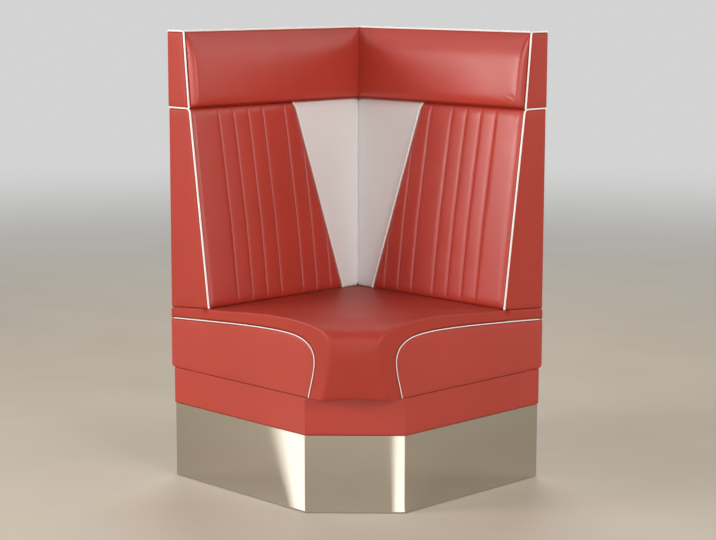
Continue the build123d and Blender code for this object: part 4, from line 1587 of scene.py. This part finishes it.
@dataclass
class Rear(Sided):
    """What shows behind one back: the cover's hems, stapled over the rear board, and the board's screws.

    face is the distance from the wall to the rear board's face, and wide is the width of a hem.
    """

    face: float = 3.0
    thick: float = 0.8
    wide: float = 23.0
    start: float = 8.2
    step: float = 6.0
    staple_line: float = 12.0
    crown_drop: float = 0.25

    def runs(self) -> list[tuple[Point, Point, Point]]:
        """Start, end and inward direction of each hem, in u and z."""
        top = BENCH.head_top + 0.2
        return [((self.start, 447.0), (self.start, top - 4.0), (1.0, 0.0)),
                ((self.start, 306.0), (self.start, 436.0), (1.0, 0.0)),
                ((self.start + 1.0, top), (BENCH.side - 4.5, top), (0.0, -1.0))]

    def hems(self) -> None:
        """Strips of the cover turned over the board's edges, cut by hand."""
        form = Form()
        for index, (start, end, inward) in enumerate(self.runs()):
            a, b, side = np.array(start), np.array(end), np.array(inward)
            steps = max(int(np.linalg.norm(b - a) / self.step), 2)
            rows = []
            for k, share in enumerate(np.linspace(0, 1, steps + 1)):
                run = k * self.step + 40.0 * index
                width = self.wide + 1.1 * sin(run / 19.0) + 0.7 * sin(run / 7.3 + 1.0)
                at = a + (b - a) * share
                pucker = 0.25 * max(sin(run / 4.0), 0.0)
                section = [(0.0, 0.0), (0.0, 0.5), (0.5, self.thick), (width * 0.5, self.thick + pucker),
                           (width - 0.5, self.thick + 0.4 * pucker), (width, self.thick * 0.5), (width, 0.0)]
                rows.append([(*(at + side * x), self.face - n + 0.05) for x, n in section])
            form.tube(self.half.place(np.array(rows)[..., [0, 2, 1]]))
        piece = form.build(self.named("rear_hems"))
        self.shop.settle(piece, self.shop.finishes.red)

    def staples(self) -> None:
        """Staples along the middle of each hem."""
        lines = []
        for start, end, inward in self.runs():
            ends = np.array((start, end)) + np.array(inward) * self.staple_line
            lines.append(self.half.place(np.insert(ends, 1, self.face - self.thick - self.crown_drop, axis=1)))
        self.shop.grow(self.shop.staples, self.named("rear_staples"), lines, self.shop.finishes.zinc, Pitch=0.026,
                       Crown=0.0105, Wire=0.0011, Seed=3 + self.turn)

    def screws(self) -> None:
        """Screws through the rear board into the middle rib and the corner post, and through the base board."""
        points = [(320.0, self.face, z) for z in np.linspace(330.0, 1080.0, 7)]
        points += [(651.0, self.face, z) for z in np.linspace(340.0, 1095.0, 7)]
        points += [(u, 12.0, z) for u in (21.0, 655.0) for z in (50.0, 145.0, 240.0)]
        lines = [self.half.place(np.array([p])) for p in points]
        facing = (-1.0, 0.0, 0.0) if self.half is Half.LEFT else (0.0, 1.0, 0.0)
        self.shop.grow(self.shop.screws, self.named("rear_screws"), lines, self.shop.finishes.zinc, smooth=False,
                       Head_radius=0.0042, Facing=facing, Seed=5)

    def build(self) -> None:
        """Make everything behind this back."""
        self.hems()
        self.staples()
        self.screws()


# Base


@dataclass
class Base:
    """Polished kick plates bent from one sheet, and the padded band above them.

    A straight run longer than long_run has one more section at a distance beside_bend from each of its ends.
    """

    shop: Upholstery
    band_thick: float = 4.0
    kick_thick: float = 1.5
    kick_inset: float = 10.0
    kick_front: float = 344.0
    long_run: float = 4.0
    beside_bend: float = 0.6

    def plan(self, inset: float, front: float, radius: float) -> np.ndarray:
        """Outer line of the base in the plan, in frame millimetres, its front corners rounded."""
        side = BENCH.half - inset
        cut = front * ROOT_TWO - side
        line = [(-side, -side), (cut, -side), (side, -cut), (side, side)]
        return rounded_path(line, (0, radius, radius, 0), radius / 5)

    def wrap(self, name: str, path: np.ndarray, profile: Sequence[Point], step: float) -> Piece:
        """A strip that follows the base's outline.

        Beside each bend a straight run has one more section, which keeps the run's own shading flat.

        Args:
            name: Name of the piece.
            path: (n, 2) outer line in the plan.
            profile: Closed section as (distance in from the line, height).
            step: Longest distance between sections on a straight run.
        Returns:
            The closed strip.
        """
        stations = [path[0]]
        for a, b in zip(path, path[1:]):
            run = np.linalg.norm(b - a)
            count = max(int(run / step), 1)
            shares = [k / count for k in range(1, count + 1)]
            if run > self.long_run:
                shares = [self.beside_bend / run] + shares[:-1] + [1 - self.beside_bend / run, 1.0]
            stations += [a + (b - a) * share for share in shares]
        line = np.array(stations)
        along = np.gradient(line, axis=0)
        along /= np.linalg.norm(along, axis=1, keepdims=True)
        out = np.stack((along[:, 1], -along[:, 0]), -1)
        form = Form()
        form.tube(np.stack([at_height(line - out * inset, z) for inset, z in profile], 1) * MM)
        return form.build(name)

    def kick(self) -> None:
        """The polished kick plates."""
        low, high = 1.0, BENCH.kick_top - 0.4
        t = self.kick_thick
        profile = [(t, low + 0.3), (t - 0.3, low), (0.35, low), (0.0, low + 0.35), (0.0, high - 0.35), (0.35, high),
                   (t - 0.3, high), (t, high - 0.3)]
        piece = self.wrap("kick_sheet", self.plan(self.kick_inset, self.kick_front, 2.6), profile, 60.0)
        self.shop.settle(piece, self.shop.finishes.steel, ["kick_plate_left", "kick_plate_front", "kick_plate_right"])
        keep_sharp(piece, 35.0)

    def band(self) -> None:
        """The padded band between the kick plates and the seat."""
        low, high = BENCH.kick_top + 0.2, BENCH.base_top - 1.0
        t = self.band_thick - 0.2
        profile = [(t, low + 0.5), (2.6, low), (1.2, low + 0.5), (0.45, low + 1.8), (0.15, low + 4.0)]
        profile += [(0.0, z) for z in np.linspace(low + 9.0, high - 9.0, 12)]
        profile += [(0.15, high - 4.0), (0.45, high - 1.8), (1.2, high - 0.5), (2.6, high), (t, high - 0.5)]
        path = self.plan(BENCH.base_inset + 0.2, BENCH.base_front - 0.2, 3.2)
        piece = self.wrap("base_band_cover", path, profile, 9.0)
        # Soil and painted shade along the band's top and bottom edges.
        mark_soil_and_shade(piece, [at_height(path, z) * MM for z in (low, high)], 5.0)
        self.shop.settle(piece, self.shop.finishes.red, ["band_cover_left", "band_cover_front", "band_cover_right"],
                         0.9)

    def build(self) -> None:
        """Make the base's visible pieces."""
        self.kick()
        self.band()


def keep_sharp(piece: Piece, angle: float) -> None:
    """Shade a piece smoothly, apart from edges sharper than an angle in degrees."""
    mesh = piece.data
    made = bmesh.new()
    made.from_mesh(mesh)
    for edge in made.edges:
        edge.smooth = not (len(edge.link_faces) == 2 and edge.calc_face_angle(0.0) > radians(angle))
    made.to_mesh(mesh)
    made.free()


# Carcass: the CAD's own boards, bolts and glides


class Carcass:
    """The boards, bolts and glides, which keep their CAD shape and get their finish here."""

    def __init__(self, shop: Upholstery) -> None:
        """Keep the workshop."""
        self.shop = shop

    def wood_for(self, node: str) -> str:
        """Which plywood a board is dressed in, by how it lies."""
        if node == "corner_post":
            return "post"
        if node in ("seat_deck", "seat_board", "base_blocks"):
            return "z"
        if node in ("base_board_front", "seat_front_board"):
            return "front"
        if node == "base_brace":
            return "brace"
        if node.startswith(("back_front_board", "roll_board")):
            return "left" if node.endswith("left") else "right"
        lies_on_x = {"base_board_rear_left", "base_board_end_right", "back_end_rib_right", "back_middle_rib_right",
                     "seat_end_board_right", "back_rear_board_left", "back_top_rail_left", "seat_ledger_left"}
        return "x" if node in lies_on_x else "y"

    def build(self) -> None:
        """Dress every CAD node that still shows."""
        finishes = self.shop.finishes
        slots = {row["node"]: row["material_slot"] for row in frame["record"]["subparts"]}
        for name, node in frame["nodes"].items():
            if node.hide_render:
                continue
            slot = slots[name]
            if slot == "plywood":
                dress(node, finishes.woods[self.wood_for(name)])
            elif slot == "zinc_steel":
                dress(node, finishes.zinc.material)
            elif slot == "nylon":
                dress(node, finishes.nylon)
            else:
                LOG.warning("%s still shows its CAD form", name)


# Studio


@dataclass(frozen=True)
class Lamp:
    """A soft rectangular lamp, by its direction in degrees from the middle of the bench and its distance in metres."""

    name: str
    azimuth: float
    elevation: float
    distance: float
    size: Point
    power: float


@dataclass(frozen=True)
class Card:
    """A card of light lying on the floor, unseen by the camera, which the polished steel mirrors.

    Its corners go round from the foot of the plate, so that its mirrored sides stand upright.
    """

    name: str
    corners: tuple[Point, Point, Point, Point]
    strength: float
    soft: float


@dataclass(frozen=True)
class Studio:
    """Camera, lights, floor and world.

    The camera's place and turns are those fitted to the photograph, yaw away from the diagonal.
    """

    focal: float = 94.195
    eye: Triple = (3.3530, -3.2950, 1.2814)
    yaw: float = 0.008148
    pitch: float = 0.156852
    roll: float = 0.002577
    backdrop: Triple = (0.72, 0.725, 0.72)
    glow: float = 0.9
    fill_color: Triple = (0.93, 0.96, 1.0)
    fill: float = 0.03
    floor_dark: Triple = (0.62, 0.535, 0.42)
    floor_light: Triple = (0.67, 0.585, 0.47)
    card_color: Triple = (1.0, 0.985, 0.95)
    lamps: tuple[Lamp, ...] = (
        Lamp("key", -119, 17, 4.2, (1.6, 1.1), 88.0),
        Lamp("key_high", -135, 46, 4.2, (1.8, 1.8), 13.0),
        Lamp("front_left", -92, 12, 4.4, (2.0, 1.2), 27.0),
        Lamp("front", -45, 8, 4.6, (2.6, 1.2), 38.0),
        Lamp("front_right", -10, 20, 4.4, (1.6, 1.6), 65.0),
        Lamp("side", 45, 20, 4.2, (2.2, 2.2), 22.0),
        Lamp("side_high", 45, 50, 4.2, (2.4, 2.4), 22.0),
        Lamp("rear", 135, 42, 4.4, (2.4, 2.4), 60.0))
    cards: tuple[Card, ...] = (
        Card("card_left", ((0.0945, -0.3320), (0.1569, -0.3320), (-0.4144, -0.8617), (-0.5764, -0.8617)), 2.4, 0.45),
        Card("card_front", ((0.3067, -0.1846), (0.3322, -0.1591), (0.8932, -0.7015), (0.8633, -0.7313)), 2.4, 0.4))

    def camera(self) -> None:
        """Camera at the photograph's place and angle."""
        turn = pi / 4 + self.yaw
        look = Vector((-sin(turn) * cos(self.pitch), cos(turn) * cos(self.pitch), -sin(self.pitch)))
        right = look.cross(Vector((0, 0, 1))).normalized()
        up = right.cross(look)
        side = cos(self.roll) * right + sin(self.roll) * up
        top = -sin(self.roll) * right + cos(self.roll) * up
        data = bpy.data.cameras.new("camera")
        data.sensor_fit = "HORIZONTAL"
        data.sensor_width = 36.0
        data.lens = self.focal
        data.clip_end = 100.0
        camera = linked("camera", data)
        camera.matrix_world = Matrix((side, top, -look)).transposed().to_4x4()
        camera.location = self.eye
        bpy.context.scene.camera = camera

    def light(self, lamp: Lamp) -> None:
        """Hang one lamp."""
        turn, rise = radians(lamp.azimuth), radians(lamp.elevation)
        aim = Vector((0.0, 0.0, 0.6))
        place = aim + Vector((cos(turn) * cos(rise), sin(turn) * cos(rise), sin(rise))) * lamp.distance
        data = bpy.data.lights.new(lamp.name, "AREA")
        data.shape = "RECTANGLE"
        data.size, data.size_y = lamp.size
        data.energy = lamp.power
        hung = linked(lamp.name, data)
        hung.location = place
        hung.rotation_euler = (aim - place).to_track_quat("-Z", "Y").to_euler()

    def lay(self, card: Card) -> None:
        """Lay one card down, bright at its second corner's side and fading to its first corner's."""
        rows, lift = 12, 0.003
        near_left, near_right, far_right, far_left = (np.array(corner) for corner in card.corners)
        share = np.linspace(0, 1, rows)[:, None]
        grid = np.stack((near_left + (far_left - near_left) * share, near_right + (far_right - near_right) * share), 1)
        mesh = bpy.data.meshes.new(card.name)
        faces = [(2 * k, 2 * k + 2, 2 * k + 3, 2 * k + 1) for k in range(rows - 1)]
        mesh.from_pydata(at_height(grid.reshape(-1, 2), lift).tolist(), [], faces)
        if mesh.polygons[0].normal.z < 0:
            mesh.flip_normals()
        across = mesh.attributes.new("across", "FLOAT", "POINT")
        across.data.foreach_set("value", np.tile((0.0, 1.0), rows).astype(np.float32))
        laid = linked(card.name, mesh)
        laid.visible_camera = laid.visible_diffuse = laid.visible_shadow = False
        paint = Paint(card.name)
        lamp = paint.wire("ShaderNodeEmission", {"Color": self.card_color + (1,), "Strength": card.strength})
        upper = paint.math("SUBTRACT", 1.0, paint.node("ShaderNodeNewGeometry").outputs["Backfacing"])
        bright = paint.math("MULTIPLY", paint.spread(paint.attribute("across"), 0.0, card.soft), upper)
        paint.blend(bright, paint.wire("ShaderNodeBsdfTransparent"), lamp)
        dress(laid, paint.material)

    def world(self) -> None:
        """Dim even fill, and a pale backdrop for the camera and for reflections."""
        world = bpy.data.worlds.new("studio")
        bpy.context.scene.world = world
        world.use_nodes = True
        nodes = Nodes(world.node_tree)
        nodes.tree.nodes.clear()
        path = nodes.node("ShaderNodeLightPath").outputs
        glossy = nodes.math("MAXIMUM", path["Is Glossy Ray"], path["Is Transmission Ray"])
        seen = nodes.math("MAXIMUM", path["Is Camera Ray"], glossy)
        fill = nodes.wire("ShaderNodeBackground", {"Color": self.fill_color + (1,), "Strength": self.fill})
        back = nodes.wire("ShaderNodeBackground", {"Color": self.backdrop + (1,), "Strength": self.glow})
        mixed = nodes.wire("ShaderNodeMixShader", {0: seen, 1: fill, 2: back})
        nodes.node("ShaderNodeOutputWorld", {"Surface": mixed})

    def floor(self) -> None:
        """Plain pale floor that fades into the backdrop far away."""
        form = bmesh.new()
        bmesh.ops.create_circle(form, cap_ends=True, segments=96, radius=30.0)
        mesh = bpy.data.meshes.new("floor")
        form.to_mesh(mesh)
        form.free()
        floor = linked("floor", mesh)
        paint = Paint("floor")
        distance = paint.node("ShaderNodeVectorMath", {0: paint.where}, operation="LENGTH").outputs["Value"]
        tone = paint.mix(paint.spread(paint.noise(2.2, 4.0), 0.3, 0.7), self.floor_dark + (1,), self.floor_light + (1,))
        paint.finish(Base_Color=tone, Roughness=0.55, Normal=paint.bump(paint.noise(180.0, 3.0), 0.1, 0.3))
        far = paint.wire("ShaderNodeEmission", {"Color": self.backdrop + (1,), "Strength": self.glow})
        away = paint.wire("ShaderNodeMapRange", {"Value": distance, "From Min": 1.3, "From Max": 9.0},
                          interpolation_type="SMOOTHERSTEP")
        paint.blend(paint.math("POWER", away, 0.8), paint.shader.outputs[0], far)
        dress(floor, paint.material)

    def build(self) -> None:
        """Set up the whole studio."""
        scene = bpy.context.scene
        scene.view_settings.view_transform = "Standard"
        self.camera()
        self.world()
        self.floor()
        for lamp in self.lamps:
            self.light(lamp)
        for card in self.cards:
            self.lay(card)


def main() -> None:
    """Build the bench, dress it and light it."""
    logging.basicConfig(level=logging.INFO, format="%(name)s %(message)s")
    Studio().build()
    shop = Upholstery(Finishes())
    Seat(shop).build()
    for half in Half:
        Back(shop, half).build()
        HeadRoll(shop, half).build()
        Rear(shop, half).build()
    Base(shop).build()
    Carcass(shop).build()
    LOG.info("%d pieces made", len(shop.made))


if __name__ == "__main__":
    main()
